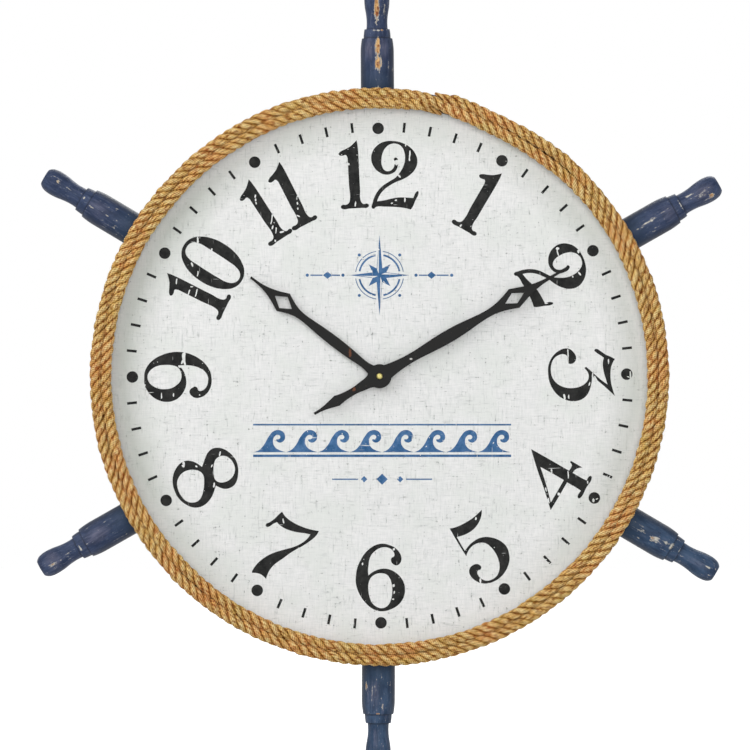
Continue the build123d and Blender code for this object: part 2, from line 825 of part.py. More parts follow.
def movement_cover():
    half = case_inner_half - cover_side_gap
    solid = block(-half, half, train_bottom + cover_side_gap, half, movement_back, cover_front)
    solid -= disc(stem_radius + wheel_gap, 0, cover_front + overrun, minute_wheel_place)
    for place in pivoted_places:
        solid -= disc(arbor_radius + pivot_gap, cover_front - pivot_depth, cover_front + overrun, place)
    rear_hole = minute_arbor_rear_radius + pivot_gap
    return solid - disc(rear_hole, cover_front - pivot_depth, cover_front + overrun)


def rubber_washer():
    return ring(rubber_washer_radius, bush_radius + washer_hole_gap, movement_front, ledge_depth)


def brass_washer():
    return ring(brass_washer_radius, bush_radius + washer_hole_gap, dial_face, nut_back)


def hex_nut():
    corner_radius = nut_across_flats / 2 / math.cos(math.pi / 6)
    outline = RegularPolygon(corner_radius, 6) - Circle(bush_radius + press_gap)
    return slab(outline, nut_back, nut_back + nut_thickness)


# The battery and the electrical pieces

battery_height_on_dial = tray_bottom + tray_height / 2
battery_depth = front_wall_back - battery_lift - battery_radius
positive_face = case_inner_half - contact_thickness - contact_gap
battery_start = positive_face - battery_length


def lengthwise(radius, left, right):
    """A cylinder along X at the battery's height."""
    cylinder = Cylinder(radius, right - left, align=(Align.CENTER, Align.CENTER, Align.MIN))
    return Pos(left, battery_height_on_dial, battery_depth) * Rot(0, 90, 0) * cylinder


def battery():
    can = lengthwise(battery_radius, battery_start, positive_face - battery_nub_length)
    can = fillet(can.edges().filter_by(GeomType.CIRCLE), battery_edge_radius)
    return can + lengthwise(battery_nub_radius, positive_face - battery_nub_length, positive_face)


def contact_plate(left):
    half_height = contact_height / 2
    half_width = contact_width / 2
    return block(
        left,
        left + contact_thickness,
        battery_height_on_dial - half_height,
        battery_height_on_dial + half_height,
        battery_depth - half_width,
        battery_depth + half_width,
    )


def contact_positive():
    return contact_plate(case_inner_half - contact_thickness)


def contact_negative():
    """A plate on the tray's end wall with a bowed leaf that presses on the battery."""
    left = -case_inner_half
    inner = left + contact_thickness
    half_height = contact_height / 2
    peak = battery_start - contact_gap
    low = Vector(inner, -half_height)
    high = Vector(inner, half_height)
    outer_arc = ThreePointArc(low, Vector(peak, 0), high)
    inner_low = Vector(inner, -half_height + 2 * contact_thickness)
    inner_high = Vector(inner, half_height - 2 * contact_thickness)
    inner_arc = ThreePointArc(inner_low, Vector(peak - contact_thickness, 0), inner_high)
    leaf = make_face([outer_arc, Line(high, inner_high), inner_arc, Line(inner_low, low)])
    half_width = contact_width / 2
    leaf_solid = slab(leaf, battery_depth - half_width, battery_depth + half_width)
    return contact_plate(left) + Pos(0, battery_height_on_dial) * leaf_solid


def circuit_board():
    outline = Pos(circuit_board_x, circuit_board_y) * Rectangle(circuit_board_width, circuit_board_height)
    return slab(outline, circuit_board_depth, circuit_board_depth + circuit_board_thickness)


def quartz_crystal():
    can = Cylinder(crystal_radius, crystal_length)
    can = fillet(can.edges().filter_by(GeomType.CIRCLE), crystal_edge_radius)
    depth = circuit_board_depth - crystal_radius - contact_gap
    return Pos(circuit_board_x, circuit_board_y, depth) * Rot(90, 0, 0) * can


def stator():
    hole_radius = magnet_radius + magnet_gap
    bottom = rotor_place.Y - hole_radius - stator_rim
    top = rotor_place.Y + hole_radius + stator_rim
    ear_top = core_height_on_dial + core_width / 2
    front = stator_depth + stator_thickness
    solid = block(stator_left, stator_right, bottom, top, stator_depth, front)
    for left in (stator_left, stator_right - stator_ear_length):
        solid += block(left, left + stator_ear_length, bottom, ear_top, stator_depth, front)
    solid -= disc(hole_radius, 0, rim_depth, rotor_place)
    return solid - disc(arbor_radius + magnet_gap, 0, rim_depth, fifth_place)


def drive_coil():
    """The core bar on the stator's ears, with the wound bobbin round it."""
    low = core_height_on_dial - core_width / 2
    high = core_height_on_dial + core_width / 2
    back = stator_depth + stator_thickness
    front = back + core_thickness
    middle = Vector((stator_left + stator_right) / 2, core_height_on_dial, (back + front) / 2)
    core = block(stator_left, stator_right, low, high, back, front)

    def round_piece(radius, start, length):
        cylinder = Cylinder(radius, length, align=(Align.CENTER, Align.CENTER, Align.MIN))
        return Pos(middle.X + start, middle.Y, middle.Z) * Rot(0, 90, 0) * cylinder

    half_coil = coil_length / 2
    bobbin = round_piece(coil_radius, -half_coil, coil_length)
    for start in (-half_coil, half_coil - coil_flange_thickness):
        bobbin += round_piece(coil_flange_radius, start, coil_flange_thickness)
    low_room = low - core_gap
    high_room = high + core_gap
    room = block(stator_left, stator_right, low_room, high_room, back - core_gap, front + core_gap)
    return [core, bobbin - room]


# Writing the pieces

def stand(shape):
    """Turns a piece from lying face up to standing with the dial facing -Y."""
    return Rot(90, 0, 0) * shape


def write(name, pieces):
    solids = pieces if isinstance(pieces, list) else [pieces]
    standing = [solid for piece in solids for solid in stand(piece).solids()]
    group = Compound(label=name, children=standing) if len(standing) > 1 else standing[0]
    export_step(group, f"parts/{name}.step")


def main():
    os.makedirs("parts", exist_ok=True)
    write("rim_ring", rim_ring())
    write("dial_board", dial_board())
    write("dial_linen", dial_linen())
    write("rope_wrap", rope_wrap())
    for index, direction in enumerate(spoke_directions()):
        write(f"handle_{index + 1}", handle(direction))
    write("handle_screws", handle_screws())
    write("hanger_plate", hanger_plate())
    write("hanger_screws", hanger_screws())
    write("movement_case", movement_case())
    write("movement_cover", movement_cover())
    write("rubber_washer", rubber_washer())
    write("brass_washer", brass_washer())
    write("hex_nut", hex_nut())
    write("battery", battery())
    write("contact_positive", contact_positive())
    write("contact_negative", contact_negative())
    write("circuit_board", circuit_board())
    write("quartz_crystal", quartz_crystal())
    write("stator", stator())
    write("drive_coil", drive_coil())
    write("rotor", rotor())
    write("fifth_wheel", fifth_wheel())
    write("second_wheel", second_wheel())
    write("third_wheel", third_wheel())
    write("centre_wheel", centre_wheel())
    write("minute_arbor", minute_arbor())
    write("minute_wheel", minute_wheel())
    write("setting_knob", setting_knob())
    write("hour_wheel", hour_wheel())
    write("hour_hand", hour_hand())
    write("minute_hand", minute_hand())
    write("hand_nut", hand_nut())


main()
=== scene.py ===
import bpy
import math
import numpy as np
from mathutils import Matrix, Vector


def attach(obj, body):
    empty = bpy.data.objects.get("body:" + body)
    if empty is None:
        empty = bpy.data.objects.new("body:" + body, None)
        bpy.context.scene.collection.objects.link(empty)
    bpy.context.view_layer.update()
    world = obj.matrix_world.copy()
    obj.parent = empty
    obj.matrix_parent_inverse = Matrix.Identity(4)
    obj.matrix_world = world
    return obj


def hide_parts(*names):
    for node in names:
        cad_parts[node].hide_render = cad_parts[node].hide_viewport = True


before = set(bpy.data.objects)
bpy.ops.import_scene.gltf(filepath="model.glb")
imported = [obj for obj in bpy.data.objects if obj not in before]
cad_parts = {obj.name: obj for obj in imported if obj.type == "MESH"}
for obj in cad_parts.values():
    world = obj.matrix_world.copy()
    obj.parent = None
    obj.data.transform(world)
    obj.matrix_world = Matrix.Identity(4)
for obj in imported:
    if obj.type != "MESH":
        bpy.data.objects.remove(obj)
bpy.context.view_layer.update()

# The dial's axis is X = 0, Z = 0, the wall is Y = 0 and the dial faces -Y. All sizes are in metres.
DIAL_FACE = 0.0276
RIM_FACE = 0.0320
LINEN_RADIUS = 0.211
LINEN_THICKNESS = 0.0006
LINEN_CLEARANCE = 0.00001
HUB_HOLE = 0.0043

# The handles' directions in degrees, counted anticlockwise from the right: the top one first, then clockwise
HANDLE_TURNS = [90.4, 29.6, -30.4, -90.2, -150.4, 149.2]

# The print is drawn on a grid of this pitch, one step for each square
GRID = 0.000781
PRINT_THICKNESS = 0.00004
PRINT_LIFT = 0.00003


# Small helpers for the workshop

def deselect():
    if bpy.context.object and bpy.context.object.mode != "OBJECT":
        bpy.ops.object.mode_set(mode="OBJECT")
    bpy.ops.object.select_all(action="DESELECT")


def tint(red, green, blue):
    """A colour written as it looks, 0 to 255, for a shader's socket."""
    values = []
    for part in (red, green, blue):
        part /= 255
        values.append(part / 12.92 if part <= 0.04045 else ((part + 0.055) / 1.055) ** 2.4)
    return (*values, 1.0)


def polar(distance, angle):
    return distance * math.cos(math.radians(angle)), distance * math.sin(math.radians(angle))


def put_in_scene(name, data):
    """An object of the scene that carries a mesh, a curve, a lamp or a camera."""
    thing = bpy.data.objects.new(name, data)
    bpy.context.scene.collection.objects.link(thing)
    return thing


def mesh_piece(name, points, faces):
    mesh = bpy.data.meshes.new(name)
    mesh.from_pydata([tuple(point) for point in points], [], faces)
    mesh.update()
    return put_in_scene(name, mesh)


def coat(piece, finish):
    piece.data.materials.clear()
    piece.data.materials.append(finish)


def hang(piece, name, finish):
    """Names a finished piece, gives it its material and lets it ride on the case."""
    piece.name = name
    piece.data.name = name
    coat(piece, finish)
    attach(piece, "case")


class Paint:
    """A node material being mixed: each call adds its nodes and returns an output."""

    def __init__(self, name):
        self.material = bpy.data.materials.new(name)
        self.material.use_nodes = True
        self.tree = self.material.node_tree
        self.shader = self.tree.nodes["Principled BSDF"]
        self.place = self.tree.nodes.new("ShaderNodeTexCoord").outputs["Object"]

    def add(self, kind, inputs=(), output=0, **settings):
        node = self.tree.nodes.new(kind)
        for key, value in settings.items():
            setattr(node, key, value)
        for key, value in dict(inputs).items():
            self.feed(node.inputs[key], value)
        return node.outputs[output]

    def feed(self, socket, value):
        if isinstance(value, bpy.types.NodeSocket):
            self.tree.links.new(value, socket)
        else:
            socket.default_value = value

    def set(self, **values):
        for key, value in values.items():
            self.feed(self.shader.inputs[key.replace("_", " ")], value)
        return self.material

    def mapped(self, scale, turn=(0, 0, 0), shift=(0, 0, 0), source=None):
        inputs = {"Vector": source or self.place, "Scale": scale, "Rotation": turn, "Location": shift}
        return self.add("ShaderNodeMapping", inputs)

    def noise(self, scale, shift=(0, 0, 0), source=None, detail=2.0, roughness=0.5):
        """Noise at a scale, the same for all axes or one for each. Objects' own places are in metres."""
        if not isinstance(scale, tuple):
            scale = (scale, scale, scale)
        vector = self.mapped(scale, shift=shift, source=source)
        inputs = {"Vector": vector, "Scale": 1.0, "Detail": detail, "Roughness": roughness}
        return self.add("ShaderNodeTexNoise", inputs)

    def axes(self, vector=None):
        split = self.tree.nodes.new("ShaderNodeSeparateXYZ")
        self.feed(split.inputs[0], vector or self.place)
        return split.outputs

    def length(self, vector):
        return self.add("ShaderNodeVectorMath", {0: vector}, output=1, operation="LENGTH")

    def from_spot(self, aside, out, half_width, half_length, source=None):
        """The distance from an oval spot's middle, 1 on its edge. Its place and size are in millimetres."""
        stretch = (1000 / half_width, 0, 1000 / half_length)
        shift = (-aside / half_width, 0, -out / half_length)
        return self.length(self.mapped(stretch, shift=shift, source=source))

    def ramp(self, value, low, high, start=0.0, end=1.0):
        inputs = {"Value": value, "From Min": low, "From Max": high, "To Min": start, "To Max": end}
        return self.add("ShaderNodeMapRange", inputs)

    def math(self, operation, first, second=0.0):
        return self.add("ShaderNodeMath", {0: first, 1: second}, operation=operation)

    def times(self, first, second):
        return self.math("MULTIPLY", first, second)

    def plus(self, first, second):
        return self.math("ADD", first, second)

    def most(self, first, second):
        return self.math("MAXIMUM", first, second)

    def blend(self, share, first, second):
        return self.add("ShaderNodeMix", {0: share, 6: first, 7: second}, output=2, data_type="RGBA")

    def between(self, value, low, high, first, second):
        """From the first tint where the value is low to the second where it is high."""
        return self.blend(self.ramp(value, low, high), first, second)

    def over(self, colour, value, low, high, share, top):
        """The colour with a share of the top tint laid over it where the value is high."""
        return self.blend(self.ramp(value, low, high, 0.0, share), colour, top)

    def bump(self, height, distance, strength):
        return self.add("ShaderNodeBump", {"Height": height, "Distance": distance, "Strength": strength})


# Finishes of the dial and the rope

def linen_threads(paint):
    """The cloth's colour and its relief: fine warp and weft, with slubs that darken where they cross."""
    warp = paint.noise((950, 30, 120), detail=3)
    weft = paint.noise((120, 30, 950), shift=(3, 0, 7), detail=3)
    warp_slub = paint.noise((620, 30, 105), shift=(9, 0, 2), detail=3, roughness=0.6)
    weft_slub = paint.noise((105, 30, 620), shift=(1, 0, 5), detail=3, roughness=0.6)
    knots = paint.noise(620, shift=(5, 0, 3), detail=1)
    cloud = paint.noise(30, detail=3)
    bare = paint.noise((70, 30, 70), shift=(6, 0, 1))
    slubs = paint.most(paint.ramp(warp_slub, 0.55, 0.70), paint.ramp(weft_slub, 0.55, 0.70, 0.0, 0.9))
    slubs = paint.times(slubs, paint.ramp(bare, 0.40, 0.58, 0.25, 1.0))
    flecks = paint.ramp(paint.plus(paint.plus(warp_slub, weft_slub), knots), 1.78, 1.95)
    threads = paint.plus(warp, weft)
    colour = paint.between(threads, 0.78, 1.25, tint(226, 227, 226), tint(239, 239, 238))
    colour = paint.over(colour, cloud, 0.45, 0.62, 0.5, tint(224, 228, 223))
    colour = paint.blend(paint.times(slubs, 0.7), colour, tint(196, 199, 197))
    colour = paint.blend(paint.times(flecks, 0.8), colour, tint(140, 142, 140))
    return colour, threads


# The rope's shadow painted round the cloth's edge, in metres from the dial's axis: where it comes in and
# fades on the way out, how far it reaches to the sides, and where it comes in and fades on the way up
SHADOW_START = (0.176, 0.199)
SHADOW_FADE = (0.200, 0.209)
SHADOW_SIDES = (-0.2, 0.2)
SHADOW_BOTTOM = (-0.185, -0.08)
SHADOW_TOP = (0.13, 0.2)


def linen_finish():
    """Linen with the rope's shadow painted round its edge, a little deeper at the left, that spares the
    bottom and fades at the top.
    """
    paint = Paint("printed_linen")
    colour, threads = linen_threads(paint)
    right, _, up = paint.axes()
    reach = paint.length(paint.mapped((1, 0, 1)))
    rope_shadow = paint.math("MINIMUM", paint.ramp(reach, *SHADOW_START), paint.ramp(reach, *SHADOW_FADE, 1.0, 0.45))
    rope_shadow = paint.times(rope_shadow, paint.ramp(right, *SHADOW_SIDES, 0.62, 0.46))
    rope_shadow = paint.times(rope_shadow, paint.ramp(up, *SHADOW_BOTTOM))
    rope_shadow = paint.times(rope_shadow, paint.ramp(up, *SHADOW_TOP, 1.0, 0.3))
    # Painted shadow of the rope on the cloth's edge, in a greenish grey
    colour = paint.blend(rope_shadow, colour, tint(176, 182, 173))
    normal = paint.bump(threads, 0.00025, 0.5)
    return paint.set(Base_Color=colour, Normal=normal, Roughness=0.92, Sheen_Weight=0.12)


def ink_finish(name, ink, pale, wear):
    """Ink pressed into the cloth, worn through to the linen in specks and hairlines."""
    paint = Paint(name)
    cloth, threads = linen_threads(paint)
    specks = paint.ramp(paint.noise(430, detail=1), 0.735 - wear, 0.775 - wear)
    upright = paint.ramp(paint.noise((900, 50, 70), shift=(4, 0, 4), detail=1), 0.74 - wear, 0.79 - wear)
    level = paint.ramp(paint.noise((70, 50, 900), shift=(8, 0, 1), detail=1), 0.74 - wear, 0.79 - wear)
    scratches = paint.most(upright, level)
    worn = paint.most(specks, paint.times(scratches, paint.ramp(paint.noise(60), 0.48, 0.62)))
    mottle = paint.noise(160, detail=4, roughness=0.7)
    body = paint.between(mottle, 0.35, 0.75, ink, pale)
    body = paint.blend(paint.times(paint.ramp(threads, 1.1, 1.35), 0.25), body, pale)
    colour = paint.blend(worn, body, cloth)
    normal = paint.bump(threads, 0.0002, 0.4)
    return paint.set(Base_Color=colour, Normal=normal, Roughness=0.85, Specular_IOR_Level=0.15)


def rope_finish(name):
    """Dry plant fibre, with a painted highlight on each strand's outer yarns and painted shade between the
    yarns: the yarns carry their own map, round the strand and along it.
    """
    paint = Paint(name)
    yarn = paint.add("ShaderNodeUVMap", uv_map="yarns")
    bead = paint.noise((8, 270, 1), source=yarn, roughness=0.6)
    streak = paint.noise((34, 150, 1), source=yarn, detail=3, roughness=0.65)
    fine = paint.noise((95, 300, 1), source=yarn, roughness=0.6)
    tuft = paint.noise(190, shift=(1, 6, 3))
    drift = paint.noise(42)
    moss = paint.noise(80, shift=(4, 1, 2))
    groove_shade = paint.add("ShaderNodeAttribute", output=2, attribute_name="groove_shade")
    crest_highlight = paint.add("ShaderNodeAttribute", output=2, attribute_name="crest_highlight")
    colour = paint.between(bead, 0.40, 0.51, tint(154, 72, 14), tint(255, 200, 108))
    colour = paint.over(colour, streak, 0.48, 0.64, 0.7, tint(255, 220, 142))
    colour = paint.over(colour, fine, 0.52, 0.66, 0.7, tint(156, 84, 26))
    colour = paint.over(colour, drift, 0.48, 0.64, 0.4, tint(248, 148, 82))
    colour = paint.over(colour, moss, 0.54, 0.68, 0.25, tint(204, 184, 72))
    # Painted highlight on the outermost yarns of each strand
    painted_highlight = paint.times(crest_highlight, paint.ramp(tuft, 0.38, 0.56, 0.35, 1.0))
    painted_highlight = paint.times(painted_highlight, paint.ramp(bead, 0.40, 0.50, 0.35, 1.0))
    colour = paint.blend(painted_highlight, colour, tint(255, 236, 174))
    # Painted shade between the yarns and on each strand's inner side
    shadow = paint.times(groove_shade, paint.ramp(tuft, 0.36, 0.60, 1.0, 0.86))
    colour = paint.blend(shadow, colour, tint(80, 27, 0))
    relief = paint.plus(paint.plus(paint.times(bead, 0.8), streak), paint.times(fine, 0.5))
    normal = paint.bump(relief, 0.0005, 1.0)
    return paint.set(Base_Color=colour, Normal=normal, Roughness=0.85, Specular_IOR_Level=0.04)


def fibre_finish():
    paint = Paint("jute_fibre")
    shade = paint.noise(120, detail=1)
    colour = paint.between(shade, 0.35, 0.65, tint(160, 118, 68), tint(226, 194, 146))
    return paint.set(Base_Color=colour, Roughness=0.8, Normal=paint.bump(shade, 0.0001, 0.2))


# Finishes of the wood

# Where a handle's pattern changes, in metres: in depth, out from the dial's axis, and across the handle, with
# the width of the painted shade at the steps and where painted shade darkens the sides
HANDLE_FRONT = (-0.017, -0.022)
HANDLE_TIP = (0.298, 0.304)
HANDLE_ROOT = (0.246, 0.227)
HANDLE_STEPS = (0.2644, 0.2715)
STEP_SHADE_WIDTH = 0.0012
SHADED_SIDES = (0.0080, 0.0128)


def worn_spots(paint, along, depth, places):
    """How strong each kind of wear and painted highlight is, from the oval spots listed for a handle's front.
    """
    spots = {"bare": 0.0, "chalk_and_highlight": 0.0, "haze_and_sheen": 0.0}
    for kind, aside, out, half_width, half_length, strength in places:
        edge = paint.from_spot(aside, out, half_width, half_length, along)
        spots[kind] = paint.most(spots[kind], paint.ramp(edge, 0.25, 1.25, strength, 0.0))
    facing = paint.ramp(depth, *HANDLE_FRONT)
    return [paint.times(spots[kind], facing) for kind in ("bare", "chalk_and_highlight", "haze_and_sheen")]


def milk_paint(paint, base_tints, streak, blotch, scuff, across, reach):
    """Brushed slate-blue paint, greyer in its scuffs, darker at the root, and with painted shade round the
    sides.
    """
    base = paint.between(blotch, 0.38, 0.62, *base_tints)
    base = paint.over(base, streak, 0.52, 0.68, 0.5, tint(86, 94, 120))
    base = paint.over(base, streak, 0.46, 0.34, 0.5, tint(30, 40, 62))
    base = paint.over(base, scuff, 0.62, 0.72, 0.55, tint(122, 130, 146))
    base = paint.over(base, scuff, 0.38, 0.30, 0.6, tint(24, 30, 46))
    base = paint.over(base, reach, *HANDLE_ROOT, 0.7, tint(34, 54, 76))
    # Painted shade on the handle's sides, which turn away from the front
    return paint.over(base, paint.math("ABSOLUTE", across), *SHADED_SIDES, 0.75, tint(22, 30, 46))


def worn_paint(name, turn, seed, base_tints, places):
    """Milk paint on a turned handle, rubbed and chipped in places.

    The pattern is turned so that Z runs out along the handle, X across it and Y into it.
    """
    paint = Paint(name)
    along = paint.mapped((1, 1, 1), turn=(0, math.radians(turn - 90), 0))
    across, depth, reach = paint.axes(along)
    streak = paint.noise((420, 420, 60), shift=(seed, seed, seed), source=along, detail=3, roughness=0.62)
    blotch = paint.noise((120, 120, 75), shift=(seed, 0, seed), source=along, detail=3)
    scuff = paint.noise((720, 720, 330), shift=(0, seed, seed), source=along, detail=3, roughness=0.6)
    bare, chalk_and_highlight, haze_and_sheen = worn_spots(paint, along, depth, places)
    tip = paint.times(paint.ramp(reach, *HANDLE_TIP), 0.04)
    uneven = paint.plus(paint.times(streak, 1.3), paint.times(scuff, 1.1))
    marked = paint.plus(paint.plus(bare, tip), uneven)
    bare = paint.ramp(marked, 1.60, 1.74)
    chalk_and_highlight = paint.ramp(paint.plus(chalk_and_highlight, uneven), 1.48, 1.78, 0.0, 0.9)
    chalk_and_highlight = paint.most(chalk_and_highlight, paint.ramp(marked, 1.50, 1.60, 0.0, 0.75))
    haze_and_sheen = paint.times(haze_and_sheen, paint.ramp(streak, 0.36, 0.66, 0.3, 1.0))
    colour = milk_paint(paint, base_tints, streak, blotch, scuff, across, reach)
    # Lilac-grey haze and chalky paint; on the third handle they are also a painted sheen and a painted
    # highlight
    colour = paint.blend(paint.times(haze_and_sheen, 0.55), colour, tint(124, 120, 138))
    colour = paint.blend(chalk_and_highlight, colour, tint(206, 202, 190))
    wood = paint.between(scuff, 0.40, 0.62, tint(140, 82, 50), tint(222, 180, 122))
    wood = paint.over(wood, streak, 0.56, 0.66, 0.7, tint(108, 50, 44))
    colour = paint.blend(bare, colour, wood)
    # Painted shade: a thin dark line in the corner at each of the collar's steps
    for step in HANDLE_STEPS:
        step_shade = paint.ramp(reach, step - 0.0001, step + STEP_SHADE_WIDTH, 0.62, 0.0)
        step_shade = paint.times(step_shade, paint.ramp(reach, step - 0.0004, step - 0.0001))
        colour = paint.blend(step_shade, colour, tint(20, 24, 34))
    normal = paint.bump(paint.math("SUBTRACT", streak, paint.times(bare, 0.6)), 0.0006, 0.6)
    roughness = paint.ramp(bare, 0.0, 1.0, 0.5, 0.8)
    return paint.set(Base_Color=colour, Normal=normal, Roughness=roughness, Specular_IOR_Level=0.2)


def ring_finish():
    """The handles' blue on the ring, with the bare wood of its front face under the rope."""
    paint = Paint("painted_ring_wood")
    streak = paint.noise((60, 500, 60), detail=3)
    blotch = paint.noise(40, detail=3)
    base = paint.between(blotch, 0.35, 0.65, tint(35, 45, 68), tint(51, 60, 85))
    edge = paint.ramp(paint.plus(streak, paint.times(blotch, 0.4)), 0.88, 0.95)
    colour = paint.blend(edge, base, tint(168, 120, 76))
    depth = paint.axes()[1]
    colour = paint.over(colour, depth, 0.0008 - RIM_FACE, 0.0002 - RIM_FACE, 1.0, tint(112, 74, 34))
    normal = paint.bump(streak, 0.0004, 0.5)
    return paint.set(Base_Color=colour, Normal=normal, Roughness=0.62, Specular_IOR_Level=0.12)


def board_finish():
    paint = Paint("fibreboard")
    fibre = paint.noise(700, detail=4, roughness=0.75)
    colour = paint.between(fibre, 0.3, 0.7, tint(118, 84, 52), tint(168, 128, 86))
    colour = paint.over(colour, paint.noise(30), 0.4, 0.7, 0.4, tint(112, 80, 50))
    return paint.set(Base_Color=colour, Normal=paint.bump(fibre, 0.0003, 0.6), Roughness=0.85)


# Finishes of the movement and the hands

def metal_finish(name, light, dark, roughness, brushed=(60, 60, 900), metallic=1.0):
    paint = Paint(name)
    brush = paint.noise(brushed, detail=3)
    colour = paint.between(paint.noise(180, detail=3), 0.35, 0.7, light, dark)
    rough = paint.ramp(brush, 0.3, 0.7, roughness - 0.08, roughness + 0.08)
    normal = paint.bump(brush, 0.00005, 0.35)
    return paint.set(Base_Color=colour, Metallic=metallic, Roughness=rough, Normal=normal)


def moulded_finish(name, base, pale, roughness, grain=1500):
    paint = Paint(name)
    orange_peel = paint.noise(grain)
    dust = paint.noise(80, detail=4)
    colour = paint.between(dust, 0.35, 0.75, base, pale)
    rough = paint.ramp(dust, 0.3, 0.7, roughness - 0.05, roughness + 0.08)
    return paint.set(Base_Color=colour, Roughness=rough, Normal=paint.bump(orange_peel, 0.00005, 0.4))


# Marks on the hands in millimetres, two brown ones and a small painted highlight: (right, up, half width,
# half height, tint)
BROWN_MARK = tint(110, 66, 44)
HAND_HIGHLIGHT = tint(226, 224, 220)
HAND_MARKS = [(-23.0, 18.1, 1.3, 4.0, BROWN_MARK), (-20.0, -10.2, 1.5, 1.8, BROWN_MARK), (24.4, 13.5, 1.5, 1.0, HAND_HIGHLIGHT)]


def hand_finish(name):
    """Satin black lacquer on sheet metal with two small brown marks and a small painted highlight."""
    paint = Paint(name)
    sheen = paint.noise(90, detail=3)
    grit = paint.noise(900, detail=3)
    speck = paint.ramp(paint.noise(520, detail=1), 0.74, 0.78)
    colour = paint.between(sheen, 0.35, 0.7, tint(12, 12, 12), tint(24, 23, 22))
    colour = paint.blend(paint.times(speck, 0.4), colour, tint(96, 84, 72))
    # Two brown marks and a white painted highlight on the hands
    for right, up, half_width, half_height, marked in HAND_MARKS:
        ragged = paint.plus(paint.from_spot(right, up, half_width, half_height), paint.times(grit, 1.6))
        colour = paint.blend(paint.ramp(ragged, 1.45, 1.75, 0.85, 0.0), colour, marked)
    rough = paint.ramp(sheen, 0.3, 0.7, 0.42, 0.56)
    normal = paint.bump(sheen, 0.0002, 0.15)
    return paint.set(Base_Color=colour, Roughness=rough, Normal=normal, Specular_IOR_Level=0.14)


# Where the cell's pale band and its bare cap start, from the dial's axis, and how sharp their edges are
BATTERY_BAND = 0.0121
BATTERY_CAP = 0.0250
BAND_EDGE = 0.0001


def battery_finish():
    """A plain two-tone jacket: dark with a pale band at the positive end."""
    paint = Paint("battery_jacket")
    right = paint.axes()[0]
    dust = paint.noise(120, detail=3)
    colour = paint.between(dust, 0.3, 0.7, tint(46, 58, 62), tint(56, 68, 72))
    for start, top in ((BATTERY_BAND, tint(176, 186, 188)), (BATTERY_CAP, tint(200, 200, 198))):
        colour = paint.over(colour, right, start - BAND_EDGE, start + BAND_EDGE, 1.0, top)
    return paint.set(Base_Color=colour, Metallic=0.3, Roughness=0.32, Normal=paint.bump(dust, 0.0001, 0.2))


FINISHES = {
    "linen": linen_finish(),
    "black_ink": ink_finish("worn_black_ink", tint(28, 29, 29), tint(55, 55, 54), 0.0),
    "blue_ink": ink_finish("worn_blue_ink", tint(48, 90, 134), tint(92, 130, 174), 0.035),
    "rope": rope_finish("jute_rope"),
    "fibre": fibre_finish(),
    "ring": ring_finish(),
    "board": board_finish(),
    "zinc": metal_finish("zinc_steel", tint(190, 192, 194), tint(160, 162, 164), 0.36),
    "nickel": metal_finish("nickel_strip", tint(205, 203, 198), tint(180, 178, 172), 0.26),
    "iron": metal_finish("stator_iron", tint(150, 150, 150), tint(120, 120, 122), 0.42),
    "brass": metal_finish("turned_brass", tint(184, 176, 116), tint(146, 136, 84), 0.42, (900, 60, 60)),
    "copper": metal_finish("copper_winding", tint(190, 104, 58), tint(150, 78, 42), 0.35, (2600, 60, 60)),
    "magnet": metal_finish("rotor_magnet", tint(96, 96, 98), tint(70, 70, 72), 0.5, 300, 0.6),
    "black_moulding": moulded_finish("black_moulding", tint(28, 28, 28), tint(42, 42, 41), 0.48),
    "white_moulding": moulded_finish("white_moulding", tint(226, 226, 220), tint(238, 238, 234), 0.4),
    "laminate": moulded_finish("circuit_laminate", tint(30, 84, 52), tint(44, 104, 66), 0.38, 700),
    "rubber": moulded_finish("black_rubber", tint(24, 24, 24), tint(36, 36, 36), 0.8, 900),
    "hands": hand_finish("blackened_metal"),
    "battery": battery_finish(),
}

# The nodes that keep their CAD shape, listed by their finish. The handles have their own below.
FINISHED_NODES = {
    "ring": ["rim_ring"],
    "board": ["dial_board"],
    "zinc": ["handle_screws", "hanger_plate", "hanger_screws"],
    "nickel": ["contact_positive", "contact_negative", "quartz_crystal"],
    "iron": ["stator"],
    "brass": ["brass_washer", "hex_nut", "minute_arbor", "hand_nut"],
    "copper": ["drive_coil"],
    "magnet": ["rotor"],
    "black_moulding": ["movement_case", "movement_cover"],
    "white_moulding": ["fifth_wheel", "second_wheel", "third_wheel", "centre_wheel", "minute_wheel",
                       "setting_knob", "hour_wheel"],
    "laminate": ["circuit_board"],
    "rubber": ["rubber_washer"],
    "hands": ["hour_hand", "minute_hand"],
    "battery": ["battery"],
}
for finish_name, node_names in FINISHED_NODES.items():
    for node_name in node_names:
        coat(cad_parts[node_name], FINISHES[finish_name])
